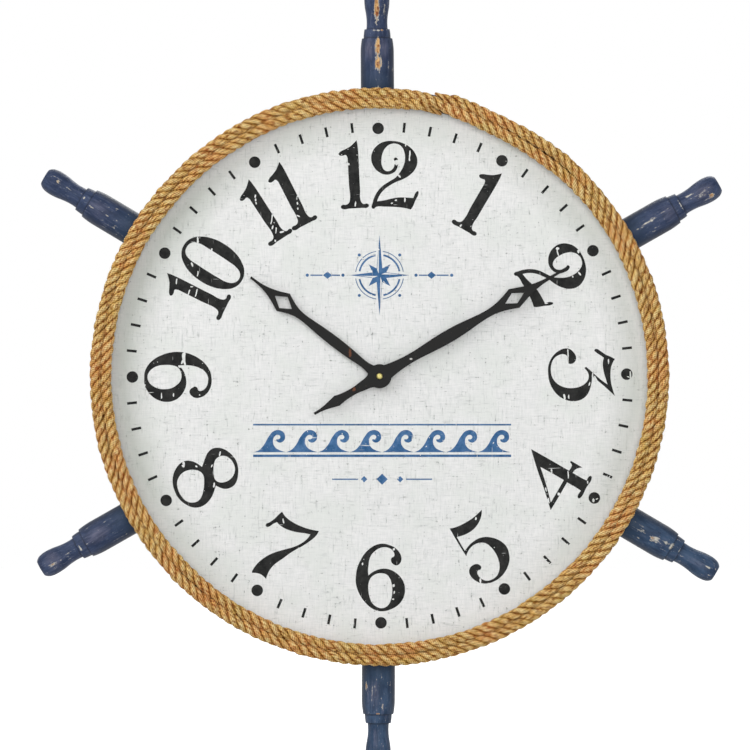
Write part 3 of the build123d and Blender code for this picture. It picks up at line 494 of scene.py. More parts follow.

# The handles' paint (darker, lighter), its worn places and the third handle's painted highlight in
# millimetres: (kind, to the right of the handle's middle, distance from the dial's centre, half width, half
# length, strength)
VIOLET_BLUE = (tint(36, 49, 77), tint(56, 69, 98))
TEAL_BLUE = (tint(36, 56, 82), tint(58, 80, 108))
HANDLE_PAINT = [
    (VIOLET_BLUE, [
        ("bare", 0.6, 257, 2.3, 9, 0.9), ("bare", 0.7, 245, 3.0, 8, 0.75),
        ("bare", -0.3, 288, 2.2, 13, 0.95), ("chalk_and_highlight", 5.6, 286, 3.2, 9, 0.34),
        ("chalk_and_highlight", 0.5, 270.2, 4.5, 0.7, 0.5), ("haze_and_sheen", -6.0, 256, 4.5, 9, 0.8),
        ("haze_and_sheen", 5.5, 256, 3.0, 9, 0.7), ("chalk_and_highlight", -4.4, 246.5, 5.0, 2.0, 0.22),
        ("bare", 3.6, 270.4, 1.6, 0.7, 0.7),
    ]),
    (VIOLET_BLUE, [
        ("bare", 4.6, 295, 2.6, 3.6, 0.6), ("chalk_and_highlight", 1.0, 291, 6.2, 8, 0.26),
        ("chalk_and_highlight", -3.3, 280, 0.9, 5.5, 0.55), ("haze_and_sheen", 0, 290, 7, 9, 0.7),
        ("chalk_and_highlight", 0, 270.6, 6.2, 0.7, 0.55), ("haze_and_sheen", 1.2, 260, 6.0, 5.5, 0.6),
        ("chalk_and_highlight", 2.0, 261, 5.0, 4.0, 0.16), ("chalk_and_highlight", -1.1, 242, 0.7, 8, 0.42),
        ("chalk_and_highlight", -1.0, 244.8, 1.2, 1.2, 0.7),
    ]),
    (TEAL_BLUE, [
        # Painted highlight: a white line near the tip, and a pale blue sheen round it
        ("chalk_and_highlight", -1.2, 297, 0.8, 2.6, 0.7), ("haze_and_sheen", 0.4, 289, 2.6, 9, 0.6),
        ("chalk_and_highlight", -0.8, 271, 2.2, 0.8, 0.5), ("chalk_and_highlight", -0.8, 264, 3.6, 1.9, 0.75),
        ("chalk_and_highlight", -0.9, 259.5, 1.6, 4.4, 0.5), ("bare", 2.6, 248, 2.4, 3.2, 0.5),
        ("chalk_and_highlight", 1.4, 249, 3.2, 5, 0.4), ("chalk_and_highlight", -0.4, 238.6, 2.4, 4.6, 0.5),
        ("chalk_and_highlight", 6.6, 238, 1.0, 2, 0.4), ("bare", -0.6, 264.2, 3.2, 1.2, 0.42),
    ]),
    (TEAL_BLUE, [
        ("haze_and_sheen", 1.6, 284, 2.2, 8, 0.5), ("chalk_and_highlight", 1.4, 273.4, 3.0, 0.7, 0.28),
        ("bare", 0.6, 263.6, 2.4, 0.6, 0.6), ("haze_and_sheen", 3.6, 250, 4.6, 13, 0.6),
        ("chalk_and_highlight", 3.0, 248, 4.0, 11, 0.14), ("bare", 9.4, 242, 0.9, 3.4, 0.42),
    ]),
    (VIOLET_BLUE, [
        ("chalk_and_highlight", -1.8, 294, 3.8, 3.6, 0.42), ("bare", -1.4, 294.4, 2.6, 2.2, 0.34),
        ("haze_and_sheen", 0.6, 293, 7, 6, 0.8), ("chalk_and_highlight", 0.2, 279, 1.2, 3, 0.36),
        ("chalk_and_highlight", -1.2, 269.7, 2.6, 0.9, 0.85), ("haze_and_sheen", 1.0, 254, 5.4, 11, 1.0),
        ("chalk_and_highlight", 1.2, 263.2, 3.4, 1.6, 0.3),
    ]),
    (VIOLET_BLUE, [
        ("bare", 1.7, 293.6, 1.8, 2.8, 0.5), ("chalk_and_highlight", 2.0, 293, 2.6, 3.4, 0.4),
        ("chalk_and_highlight", 1.3, 284, 0.8, 6.6, 0.42), ("chalk_and_highlight", 1.4, 269.6, 1.8, 0.8, 0.6),
        ("chalk_and_highlight", -2.0, 260.6, 1.7, 3.6, 0.5), ("haze_and_sheen", 0, 256, 6, 9, 0.6),
        ("chalk_and_highlight", -1.2, 246.4, 1.2, 2.8, 0.5), ("chalk_and_highlight", -5.6, 237.6, 2.2, 1.6, 0.4),
        ("chalk_and_highlight", 6.6, 243, 1.2, 1.4, 0.4),
    ]),
]

# How far the pattern of the paint moves on from one handle to the next
PATTERN_SHIFT = 3.7

for number, (turn, (base_tints, places)) in enumerate(zip(HANDLE_TURNS, HANDLE_PAINT)):
    blue_wood = worn_paint(f"worn_blue_wood_{number + 1}", turn, PATTERN_SHIFT * number, base_tints, places)
    coat(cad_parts[f"handle_{number + 1}"], blue_wood)


# The linen

PUCKER_HEIGHT = 0.00003
LINEN_CORNERS = 288
LINEN_RINGS = 22


def pucker(x, z):
    """How far the glued cloth stands off the board: long shallow ripples under a tenth of a millimetre."""
    return PUCKER_HEIGHT * (1 + 0.5 * np.sin(41 * x + 17 * z) + 0.5 * np.sin(29 * z - 13 * x + 1.3))


def stretch_linen():
    """A round sheet with a hole for the hub, drawn inwards ring by ring and then given its thickness."""
    bpy.ops.mesh.primitive_circle_add(vertices=LINEN_CORNERS, radius=LINEN_RADIUS, fill_type="NOTHING",
                                      rotation=(math.pi / 2, 0, 0))
    cloth = bpy.context.object
    bpy.ops.object.transform_apply(location=True, rotation=True, scale=True)
    bpy.ops.object.mode_set(mode="EDIT")
    bpy.ops.mesh.select_all(action="SELECT")
    radius = LINEN_RADIUS
    for ring in range(LINEN_RINGS):
        inner = LINEN_RADIUS + (HUB_HOLE - LINEN_RADIUS) * (ring + 1) / LINEN_RINGS
        bpy.ops.mesh.extrude_region_move()
        bpy.ops.transform.resize(value=(inner / radius, 1, inner / radius))
        radius = inner
    bpy.ops.mesh.select_all(action="SELECT")
    bpy.ops.mesh.normals_make_consistent(inside=False)
    bpy.ops.object.mode_set(mode="OBJECT")
    mesh = cloth.data
    points = np.zeros(len(mesh.vertices) * 3)
    mesh.vertices.foreach_get("co", points)
    points = points.reshape(-1, 3)
    points[:, 1] = -DIAL_FACE - pucker(points[:, 0], points[:, 2])
    mesh.vertices.foreach_set("co", points.ravel())
    if mesh.polygons[0].normal.y > 0:
        mesh.flip_normals()
    solidify = cloth.modifiers.new("thickness", "SOLIDIFY")
    solidify.thickness = LINEN_THICKNESS - LINEN_CLEARANCE
    solidify.offset = -1
    bpy.ops.object.modifier_apply(modifier=solidify.name)
    bpy.ops.object.shade_smooth_by_angle(angle=math.radians(40))
    hang(cloth, "linen_face", FINISHES["linen"])
    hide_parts("dial_linen")


deselect()
stretch_linen()


# The print: digits drawn upright on the grid with feet at height zero. A third value C marks a corner.

C = 1
DIGITS = {
    "0": [
        [(0, 68), (9, 65.5), (16, 58), (20.5, 47), (22, 34), (20.5, 21), (16, 10), (9, 2.5), (0, 0),
         (-9, 2.5), (-16, 10), (-20.5, 21), (-22, 34), (-20.5, 47), (-16, 58), (-9, 65.5)],
        [(0, 64.5), (-6, 62.5), (-9, 57), (-9.8, 46), (-10, 34), (-9.8, 22), (-8.8, 11.5), (-5.5, 5.5),
         (0, 3.3), (5.5, 5.5), (8.5, 11.5), (9.5, 22), (9.8, 34), (9.8, 46), (9, 57), (6, 62.5)],
    ],
    "1": [
        [(4.6, 68.8, C), (5.3, 64), (5.3, 20), (5.5, 7.6), (7.6, 4.9), (11.8, 4.9), (13.2, 3), (11.8, 1.1),
         (6, 1), (-6, 1), (-13.6, 1.1), (-14.9, 3), (-13.6, 4.9), (-9.5, 5), (-6.8, 6.4), (-5.5, 9.5),
         (-5.5, 25), (-5.4, 51.5, C), (-7, 54.6), (-10, 54.2), (-12.6, 54.3), (-14.1, 56), (-12.6, 58),
         (-7, 60.6), (-2.5, 62.8), (1.4, 65.8)],
    ],
    "2": [
        [(-21.8, 0), (-21.4, 5), (-19.8, 11), (-16.3, 17.8), (-11.3, 23.3), (-5.3, 27.5), (0.7, 31.7),
         (4.7, 37), (7.9, 43.5), (9.1, 50), (8.2, 57), (5, 62.8), (0, 65.2), (-5, 65), (-10, 61.8),
         (-13.3, 56), (-14.4, 49), (-13.4, 42), (-10.5, 38.2), (-6.5, 37.6), (-2.8, 40), (-1.1, 44.5),
         (-1.3, 48), (-2, 50.4), (0, 51.5), (2, 49.5), (2.3, 44), (0.5, 38.5), (-3.5, 35.3), (-9.5, 34),
         (-16, 36), (-21.5, 41), (-24.5, 48), (-24, 55.5), (-20, 62), (-13, 66.6), (-3, 67.9), (6, 66.3),
         (13.5, 62.5), (19.3, 56), (21.6, 48.5), (19.8, 41), (15, 35), (8, 30.2), (1, 27), (-5, 23.3),
         (-10.5, 18.8), (-14.8, 12.8), (-17, 7, C), (-10, 8.2), (-3, 10.2), (4, 11.7), (12, 12),
         (19, 11.8, C), (22.2, 18.4), (23.6, 18.9), (24.2, 17.4), (21.3, 9.5), (18.6, 2.5), (17, 0.2, C),
         (12, 1.3), (4, 2), (-9, 2), (-17.5, 1.4), (-20, -0.6)],
    ],
    "3": [
        [(-27.3, 48.4), (-25, 53.2), (-21.6, 58.2), (-20, 62), (-17.3, 67.4, C), (-14, 65.5), (-9, 63.6),
         (-2, 63), (6, 63.5), (13, 65.2), (19.7, 67.4, C), (15.5, 62.8), (10, 56.8), (4.5, 50.3),
         (0.3, 45.6), (-1.5, 44.4, C), (5, 44.2), (11, 43), (17, 40.6), (21.5, 36.8), (24.3, 31.3),
         (25, 25), (24, 19.3), (21.5, 13.8), (17.5, 8.8), (12, 4.8), (5, 1.8), (-3, 0.6), (-10, 0.8),
         (-16, 2.8), (-21.5, 6.5), (-25.5, 11.5), (-27.7, 17), (-27.2, 22), (-24, 26), (-19.5, 28.5),
         (-15.5, 28), (-12.6, 24.6), (-12.9, 21), (-16, 19.9), (-20, 19.6), (-22, 16.5), (-21, 11),
         (-17.5, 6.4), (-12, 3.9), (-5, 3.4), (1.5, 5), (6.5, 8.7), (10, 14), (11.7, 20), (11.8, 26),
         (10.5, 32), (7.5, 37.4), (3, 40.8), (-2, 41), (-5, 39.6), (-8.2, 36.9, C), (-9.4, 38.6, C),
         (-6, 42.6), (-1.5, 47.6), (4, 54), (8.3, 60, C), (3, 58.4), (-2, 56.9), (-8, 55.6), (-14, 55.3),
         (-18.5, 56.3, C), (-21, 52.8), (-24.2, 48.2), (-26, 46.8)],
    ],
    "4": [
        [(12.7, 67.3, C), (12.9, 50), (12.9, 23.6, C), (16.5, 23.4), (19.2, 24), (20.8, 27, C),
         (22.4, 27, C), (22.4, 13.6, C), (20.9, 15.6), (17.4, 18.6), (12.9, 19.5, C), (12.9, 8),
         (13.3, 3.5, C), (18, 3.3), (19.3, 1.8), (18, 0.3), (7, 0.2), (-5, 0.3), (-6.3, 1.8), (-5, 3.3),
         (1.6, 3.4, C), (1.9, 10), (1.9, 19.5, C), (-14, 19.5), (-30.4, 19.8, C), (-16, 35.4),
         (-1.5, 52.2)],
        [(1.9, 50.3, C), (-9.5, 37.6), (-23.6, 23.5, C), (-10, 23.4), (2.2, 23.4, C), (2.2, 38)],
    ],
    "5": [
        [(-15.4, 68, C), (-11, 66.5), (-5, 65.5), (3, 65.2), (11, 65.7), (16.5, 66.9), (21.9, 68.2, C),
         (19.4, 64.4), (15.3, 60.4), (10, 57.2), (4, 55.3), (-2, 54.9), (-8, 55.6), (-13.4, 57.1, C),
         (-13.5, 49), (-13.4, 41, C), (-8, 43.4), (-2, 44.8), (4, 45), (10, 43.5), (15.2, 40.3),
         (20.2, 35.2), (23.6, 29), (24.8, 22.5), (23.5, 16.7), (21, 11.3), (17, 6.9), (12, 3.4), (5, 0.6),
         (-3, 0), (-10, 1.5), (-15, 4.6), (-18.6, 9), (-20.8, 15), (-20.5, 20), (-18, 23.4), (-14, 24.6),
         (-10, 23.9), (-7.7, 21.5), (-7.4, 18.8), (-9.2, 17.2), (-11.6, 17.5), (-13.5, 16), (-14, 12),
         (-12.5, 7.6), (-9.5, 4.4), (-5, 2.8), (1, 3.2), (6, 6.4), (9.6, 11.5), (11.6, 18), (12, 25),
         (11, 31.5), (8.5, 37), (5, 40), (0, 41.6), (-5, 41.4), (-10, 39.6), (-13, 37.5), (-14.9, 35.8, C),
         (-15.4, 50)],
    ],
    "6": [
        [(4, 67.5), (10, 66.1), (15, 63.8), (19, 60), (21.5, 55.5), (21.8, 51), (20, 47.4), (17, 45.8),
         (13.6, 47.1), (11.5, 50.4), (12, 53.2), (14.5, 54.9), (14.8, 57.6), (13, 60.8), (9.5, 63.2),
         (4.5, 64), (0, 63), (-4.5, 60.2), (-8, 56.5), (-10, 52), (-11, 46), (-11.5, 40), (-11, 35.7, C),
         (-8, 38.3), (-4, 40.6), (0, 42), (5, 42.6), (11, 41.4), (17, 38), (21.5, 33.5), (24.5, 28),
         (25.5, 22), (24.8, 16), (22, 10), (17.5, 5.3), (11, 1.8), (4, 0), (-3, 0.7), (-9, 3.8), (-14, 8.4),
         (-18.3, 14), (-21.6, 20.5), (-23.6, 27.8), (-23.6, 35.5), (-22.2, 43.5), (-19, 51), (-14.5, 58),
         (-9, 63.2), (-3, 66.5)],
        [(2, 38), (-1.5, 37.8), (-5.5, 36.2), (-9, 33), (-10.8, 28.5), (-11.2, 22), (-10, 14.5),
         (-7.5, 8.5), (-3, 4.5), (2.5, 3), (7.5, 5), (10.5, 9), (12.3, 15), (12.8, 21.5), (12, 28),
         (10, 33.5), (6.5, 37)],
    ],
    "7": [
        [(-16.6, 69, C), (-13, 67), (-8, 65.7), (0, 65.2), (8, 65.9), (15, 67.3), (20, 68.8),
         (24.9, 70.6, C), (25, 66.5), (24, 62), (21.5, 56), (18.5, 50), (14.5, 43.5), (10.5, 36), (7.5, 29),
         (4.5, 22.8), (2.5, 17), (1.8, 11), (2.3, 6), (3.2, 2.7, C), (0, 3.6), (-4, 4), (-8, 3),
         (-12, 1, C), (-13, 2.4, C), (-12.8, 7), (-11.8, 13), (-10, 18), (-7, 24), (-3, 29.6), (2, 35),
         (7.5, 40.5), (12.5, 46), (16.5, 52.4), (18.8, 58.4), (19.3, 63.4, C), (14.5, 61.9), (8, 59.2),
         (1, 57), (-7, 55.8), (-13, 56.4), (-15.8, 57.4, C), (-18.2, 54), (-20.4, 49.6), (-22.8, 48.1),
         (-24.3, 49.6), (-22.1, 53.6), (-19.5, 59.5), (-18.1, 65)],
    ],
    "8": [
        [(1, 68.6), (8, 67), (14, 63.7), (18.6, 59.8), (21.6, 55), (22, 50), (20.5, 45.1), (17, 41.4),
         (12.8, 38.6, C), (16.2, 35), (20.2, 30), (23, 24), (24, 17.5), (22.6, 11.5), (19, 6.5), (13, 2.5),
         (5, 0), (-3, 0.2), (-11, 2.5), (-17, 6.5), (-21.5, 12), (-24, 18.5), (-23.8, 24.2), (-21, 29.2),
         (-16, 33.2), (-10.2, 35.9, C), (-12.4, 38.6), (-16.2, 43), (-19.6, 48), (-20.8, 53.5), (-19, 59),
         (-15, 63.5), (-9, 66.8), (-4, 68.2)],
        [(2, 65), (-3.5, 64.2), (-8, 61.5), (-10.3, 57), (-10, 52), (-7, 48), (-2, 44.5), (3, 42),
         (7.5, 41), (12, 43.5), (14.5, 49), (14.5, 54.5), (12, 60), (8, 63.5)],
        [(-2, 32.8), (-7, 32), (-11, 28.5), (-14, 23), (-14.8, 16.5), (-13, 11), (-9, 6.5), (-3, 4),
         (5, 3.5), (12, 5.5), (16, 10), (17.3, 15.5), (15, 21), (10, 26), (4, 30.2)],
    ],
    "9": [
        [(-2, 67.3), (-8, 67), (-14, 64.5), (-20, 59.5), (-24, 53), (-25.7, 45.5), (-24.5, 38),
         (-20.5, 31.6), (-15, 27.6), (-9, 25.4), (-3, 25.4), (3, 27), (7.6, 29.6), (10.8, 32.6, C),
         (11, 28), (10.8, 22), (10, 17), (8, 11.5), (4.5, 6.5), (0, 3.8), (-5, 3.4), (-9.5, 4.5),
         (-13, 7.2), (-14.8, 10.8), (-14.2, 13), (-11.6, 14.2), (-10.3, 16.5), (-11.5, 19), (-13.2, 21.2),
         (-16, 22), (-19.5, 20), (-21.7, 16), (-21.2, 11), (-18.5, 6), (-13.5, 2), (-7, 0), (0, 0.2),
         (6, 2), (12, 6), (17, 11.5), (21, 18.5), (23.5, 26), (24.3, 34), (23.5, 42), (21, 50), (16.5, 58),
         (10.5, 63.8), (4, 66.8)],
        [(-0.5, 64), (4, 62.5), (8, 58.5), (10.5, 53), (11.3, 46), (10.8, 39), (9, 34), (5, 31), (0, 30),
         (-5, 31.3), (-9, 35), (-12, 40.5), (-13, 47), (-12.3, 53), (-9.5, 59), (-5.5, 62.8)],
    ],
}

# Where each hour's digits stand: (digit, step to the right, height from the dial's axis, turn in degrees)
HOURS = {
    12: [("1", -23.6, 167, 3.3), ("2", 14.2, 167.2, -2.5)],
    1: [("1", 0, 168, 0)],
    2: [("2", 0, 168, 0)],
    3: [("3", 0, 168, 0)],
    4: [("4", 0, -235, 0)],
    5: [("5", 0, -235, 0)],
    6: [("6", 0, -235, 0)],
    7: [("7", 0, -235, 0)],
    8: [("8", 0, -235, 0)],
    9: [("9", 0, 168, 0)],
    10: [("1", -17.2, 166.5, 3.6), ("0", 13.6, 167, -2.1)],
    11: [("1", -15.5, 167, 3.3), ("1", 12.5, 167.3, -2.7)],
}


def draw(contours):
    """A flat, slightly thick mesh of closed outlines, in grid steps on the XY plane."""
    curve = bpy.data.curves.new("outline", "CURVE")
    curve.dimensions = "2D"
    curve.fill_mode = "BOTH"
    curve.resolution_u = 6
    curve.extrude = PRINT_THICKNESS / GRID / 2
    for contour in contours:
        spline = curve.splines.new("BEZIER")
        spline.bezier_points.add(len(contour) - 1)
        spline.use_cyclic_u = True
        for knot, (x, y, *corner) in zip(spline.bezier_points, contour):
            knot.co = (x, y, 0)
            knot.handle_left_type = knot.handle_right_type = "VECTOR" if corner else "AUTO"
    outline = put_in_scene("outline", curve)
    deselect()
    outline.select_set(True)
    bpy.context.view_layer.objects.active = outline
    bpy.ops.object.convert(target="MESH")
    return bpy.context.object


def on_paper(x=0.0, y=0.0, turn=0.0):
    """A place in the drawing's plane, x to the right and y up, turned anticlockwise."""
    return Matrix.Translation((x, y, 0)) @ Matrix.Rotation(math.radians(turn), 4, "Z")


def on_dial(x=0.0, y=0.0, turn=0.0):
    """The same place on the dial, where the drawing stands upright."""
    return Matrix.Rotation(math.pi / 2, 4, "X") @ Matrix.Scale(GRID, 4) @ on_paper(x, y, turn)


def on_hour(hour):
    """The dial turned so that an hour's digits stand upright: feet inwards, or outwards from 4 to 8."""
    clockwise = 30 * hour - (180 if 4 <= hour <= 8 else 0)
    return on_dial(turn=-clockwise)


def press(piece, place, lift=PRINT_LIFT):
    """Puts a drawn mesh on the cloth, following its ripples."""
    piece.data.transform(place)
    for vertex in piece.data.vertices:
        vertex.co.y += -DIAL_FACE - lift - PRINT_THICKNESS / 2 - float(pucker(vertex.co.x, vertex.co.z))


def joined(pieces):
    """One object made of all the pieces, with its doubles merged and its faces turned outwards."""
    deselect()
    for piece in pieces:
        piece.select_set(True)
    bpy.context.view_layer.objects.active = pieces[0]
    if len(pieces) > 1:
        bpy.ops.object.join()
    bpy.ops.object.mode_set(mode="EDIT")
    bpy.ops.mesh.select_all(action="SELECT")
    bpy.ops.mesh.remove_doubles(threshold=1e-7)
    bpy.ops.mesh.normals_make_consistent(inside=False)
    bpy.ops.object.mode_set(mode="OBJECT")
    return bpy.context.object


def circle(x, y, radius, knots):
    return [(x + radius * math.cos(2 * math.pi * k / knots), y + radius * math.sin(2 * math.pi * k / knots))
            for k in range(knots)]


def bar(x, y, length, width, turn=0.0):
    """A straight stroke centred on a place."""
    along, up = polar(length / 2, turn)
    side, rise = polar(width / 2, turn + 90)
    return [(x - along - side, y - up - rise, C), (x + along - side, y + up - rise, C),
            (x + along + side, y + up + rise, C), (x - along + side, y - up + rise, C)]


def diamond(x, y, half_width, half_height):
    return [(x - half_width, y, C), (x, y + half_height, C), (x + half_width, y, C), (x, y - half_height, C)]


def print_hours():
    for hour, digits in HOURS.items():
        pieces = []
        for digit, x, y, turn in digits:
            piece = draw(DIGITS[digit])
            piece.data.transform(on_paper(x, y, turn))
            press(piece, on_hour(hour))
            pieces.append(piece)
        hang(joined(pieces), f"numeral_{hour}", FINISHES["black_ink"])


# The ring of minutes, in grid steps. It sits a hair off the numerals' axes, as it was printed.
MINUTE_CENTRE = (0.04, 0.64)
MINUTE_TURN = 0.33
DOT_DISTANCE = 247.2
DOT_RADIUS = 5.75
STROKE_DISTANCE = 249.0
STROKE_LENGTH = 9.9
STROKE_WIDTH = 2.6


def print_minutes():
    dots = []
    strokes = []
    for minute in range(60):
        angle = 90 - 6 * minute + MINUTE_TURN
        on_hour_mark = minute % 5 == 0
        x, y = polar(DOT_DISTANCE if on_hour_mark else STROKE_DISTANCE, angle)
        x += MINUTE_CENTRE[0]
        y += MINUTE_CENTRE[1]
        if on_hour_mark:
            dots.append(circle(x, y, DOT_RADIUS, 12))
        else:
            strokes.append(bar(x, y, STROKE_LENGTH, STROKE_WIDTH, angle))
    for name, drawn in (("hour_dots", dots), ("minute_strokes", strokes)):
        piece = draw(drawn)
        press(piece, on_dial())
        hang(joined([piece]), name, FINISHES["black_ink"])


# The compass, in grid steps: the star, its broken ring of two bands (inner, outer, half a gap in degrees) and
# the lines at its sides: bars (middle, length), a diamond (middle, half width, half height) and beads
COMPASS_PLACE = (0, 101)
LONG_POINT = 40
SIDE_POINT = 30
SHORT_POINT = 15.5
STAR_WAIST = 7.4
FACET_SHORTER = 8
FACET_WAIST = 5.8
FACET_ROOT = 1.8
FACET_SHIFT = 0.5
RING_BANDS = [(19.4, 21.2, 11), (23.6, 24.4, 8)]
BAND_STEPS = 12
RING_BEAD_DISTANCE = 28.6
RING_BEAD_RADIUS = 1.5
SIDE_BARS = [(43.5, 8), (63, 12)]
SIDE_DIAMOND = (52, 4.6, 3.6)
SIDE_BEADS = [36.5, 72.2]
SIDE_BEAD_RADIUS = 1.6
BEAD_KNOTS = 8
FINE_LINE = 1.3


def compass_star():
    """An eight-pointed star as one outline, with the left half of each long point cut out of it."""
    outline = []
    for point, reach in enumerate([LONG_POINT, SHORT_POINT, SIDE_POINT, SHORT_POINT] * 2):
        outline.append((*polar(reach, 90 - 45 * point), C))
        outline.append((*polar(STAR_WAIST, 67.5 - 45 * point), C))
    contours = [outline]
    for turn, reach in ((90, LONG_POINT), (0, SIDE_POINT), (270, LONG_POINT), (180, SIDE_POINT)):
        tip = polar(reach - FACET_SHORTER, turn)
        corners = [tip, polar(FACET_WAIST, turn + 19), polar(FACET_ROOT, turn + 10)]
        aside, up = polar(FACET_SHIFT, turn + 90)
        contours.append([(x + aside, y + up, C) for x, y in corners])
    return contours


def arc_band(inner, outer, start, end):
    """A piece of a ring between two angles."""
    angles = [start + (end - start) * step / BAND_STEPS for step in range(BAND_STEPS + 1)]
    there = [(*polar(outer, angle), C) for angle in angles]
    back = [(*polar(inner, angle), C) for angle in reversed(angles)]
    return there + back


def print_compass():
    """A plain compass star inside a broken ring, with a beaded line at each side of it."""
    contours = compass_star()
    for first in range(0, 360, 90):
        for inner, outer, gap in RING_BANDS:
            contours.append(arc_band(inner, outer, first + gap, first + 90 - gap))
        contours.append(circle(*polar(RING_BEAD_DISTANCE, first + 45), RING_BEAD_RADIUS, BEAD_KNOTS))
    for side in (-1, 1):
        for middle, length in SIDE_BARS:
            contours.append(bar(side * middle, 0, length, FINE_LINE))
        middle, half_width, half_height = SIDE_DIAMOND
        contours.append(diamond(side * middle, 0, half_width, half_height))
        for along in SIDE_BEADS:
            contours.append(circle(side * along, 0, SIDE_BEAD_RADIUS, BEAD_KNOTS))
    piece = draw(contours)
    press(piece, on_dial(*COMPASS_PLACE))
    hang(joined([piece]), "compass_print", FINISHES["blue_ink"])


# The wave band, in grid steps: one wave's outline, the rules (height, width), and the row under them with its
# bars (middle, length) and diamonds (middle, half width)
WAVE_PLACE = (2.6, -76)
WAVE = [(0, 0, C), (5, 2.2), (10, 7.5), (14.5, 15.5), (20.5, 21.5), (27.5, 21.3), (31, 16.2), (29.2, 11),
        (24.6, 9.8), (22.2, 12.6), (24.4, 12.9), (26.2, 14.7), (24.6, 17.2), (20.9, 16.2), (18.9, 11),
        (21, 5), (26, 1.8), (32, 0, C)]
WAVE_LENGTH = 32
WAVE_COUNT = 8
RULE_LENGTH = 258
RULES = [(-3.6, 2.4), (27.5, 1.6)]
ROW_HEIGHT = -27
ROW_BAR = (37, 26)
ROW_DIAMONDS = [(-18, 3.2), (0, 5.6), (18, 3.2)]


def print_waves():
    """A band of breaking waves between two rules, and a short row of diamonds under it."""
    crests = []
    for index in range(WAVE_COUNT):
        start = WAVE_LENGTH * (index - WAVE_COUNT / 2)
        crests.append([(x + start, y, *corner) for x, y, *corner in WAVE])
    rules = [bar(0, height, RULE_LENGTH, width) for height, width in RULES]
    middle, length = ROW_BAR
    row = [bar(side * middle, ROW_HEIGHT, length, FINE_LINE) for side in (-1, 1)]
    row += [diamond(x, ROW_HEIGHT, size, size) for x, size in ROW_DIAMONDS]
    pieces = [draw(crests), draw(rules), draw(row)]
    for piece in pieces:
        press(piece, on_dial(*WAVE_PLACE))
    hang(joined(pieces), "wave_print", FINISHES["blue_ink"])


# Places where the print has broken away: (hour, right, up, length, width, turn), on the hour's own axes
BREAKS = [
    (9, 18, 195.6, 13, 3.4, 4), (9, 14.5, 197.2, 6, 1.6, -20), (9, 9.5, 200, 3, 1.8, 40),
    (9, -20, 218, 6, 1.1, 0), (9, -19, 206, 4, 1.2, 0), (9, -9, 235, 2, 2.4, 60),
    (12, 26.4, 232, 5.6, 1.5, 80), (12, 30.2, 221, 11, 1.5, 84), (12, 17.2, 214.0, 5.6, 5.0, 70),
    (12, 19.6, 200.2, 3.6, 2.0, -50), (12, 25.4, 176.4, 4.6, 1.4, 86), (12, -24, 172.4, 5, 1.4, 84),
    (12, -31, 212, 2.2, 2.4, 80), (12, 16.4, 176, 2.4, 1.6, 0), (12, 12.4, 173, 2, 1.6, 40),
    (10, 26.6, 225.2, 6.6, 2.0, 33), (10, 3, 218, 4.4, 1.8, 50), (10, -22.6, 207, 6, 1.3, 12),
    (10, -16.4, 207.4, 3, 1.2, 120), (10, -19, 223.4, 6, 1.2, 24), (10, -19, 200.4, 8, 1.2, 16),
    (10, 25.6, 208.6, 3, 1.6, 20), (10, -2, 208.6, 6, 1.1, 20), (8, -22, -213.4, 5.4, 2.4, -28),
    (8, -20.3, -214.6, 3, 3.2, 60), (8, -12.6, -177, 4.6, 1.6, -40), (8, -6.2, -190, 3, 1.4, -50),
    (8, 11.6, -197.6, 4.6, 1.8, -40), (8, -13.6, -203.8, 2.4, 1.6, 30), (6, 14.4, -173, 2.4, 2.0, 60),
    (6, -17, -187.6, 3, 1.3, 80), (6, 14.1, -209.4, 3.4, 2.2, 70), (6, 14.7, -216, 3, 1.2, 80),
    (6, 13.6, -223, 2, 1.6, 0), (5, -14.9, -227.4, 5, 1.8, 60), (5, 12.2, -171.6, 3.2, 2.0, 60),
    (7, -11, -173.4, 5.2, 1.4, -50), (4, 9.6, -212.4, 8, 1.1, 34), (4, 4, -196.6, 4.4, 1.6, 40),
    (4, -23.2, -208.6, 5.4, 1.6, 40), (4, -24.6, -206, 5, 1.2, 42), (4, -12.4, -214.2, 3, 3.0, 20),
    (4, 12.4, -233.2, 3.4, 1.2, 30), (4, -15, -200.8, 4, 1.2, 40), (3, -20, 188.5, 14, 1.2, 1),
    (3, 20.6, 184.9, 6.2, 1.8, 10), (3, 20.8, 189.2, 4.4, 1.2, 4), (3, -15, 229, 5, 1.2, 0),
    (3, -3, 213.2, 7.4, 1.1, -4), (3, 2, 216, 5.6, 1.3, 30), (3, 7.6, 210, 4, 1.2, -20),
    (2, -8.8, 234.6, 3.4, 2.2, -30), (2, 11.4, 224.6, 5, 1.6, 10), (2, -21.6, 218, 3.6, 3.0, 70),
    (2, -17.4, 216, 6.4, 1.4, -14), (2, 10.4, 217, 2, 1.4, 0), (2, 20.2, 180.8, 3, 1.2, 60),
    (1, -5, 171, 3, 1.4, 80), (11, -17.6, 218, 3.4, 1.5, 50), (11, -19.2, 214.6, 3, 1.4, 50),
    (11, -20.3, 211.6, 3, 1.2, 70), (11, -14.6, 190, 10, 1.2, 52), (11, -18, 182.6, 4, 1.3, 48),
    (11, -16.6, 178, 7, 1.1, 56), (11, -12.4, 173.6, 4.4, 1.8, -20), (11, 18, 196, 5, 1.1, 48),
    (11, 15.4, 190.8, 3, 1.6, 60), (11, 13, 186, 2.6, 1.4, 60), (11, 9.6, 179.6, 4, 1.4, 120),
    (11, -22.6, 169.4, 2.6, 1.6, 80), (3, 0, 251.0, 9, 1.5, 0), (3, 0.6, 248.6, 3, 1.0, 70),
    (4, -0.6, -247.2, 3.6, 2.2, 30), (4, 2.4, -249.6, 2.4, 1.2, -30), (6, 186.9, -168.3, 4, 1.5, 14),
    (6, 165.8, -183.6, 4, 1.1, 6), (6, 168.0, -186.4, 4, 1.1, 6), (6, 226.4, -101.2, 4, 1.2, 50),
    (6, 229.6, -101.0, 3.6, 1.0, 50),
]
SLIVER_CORNERS = 9
SLIVER_STRAY = 0.4


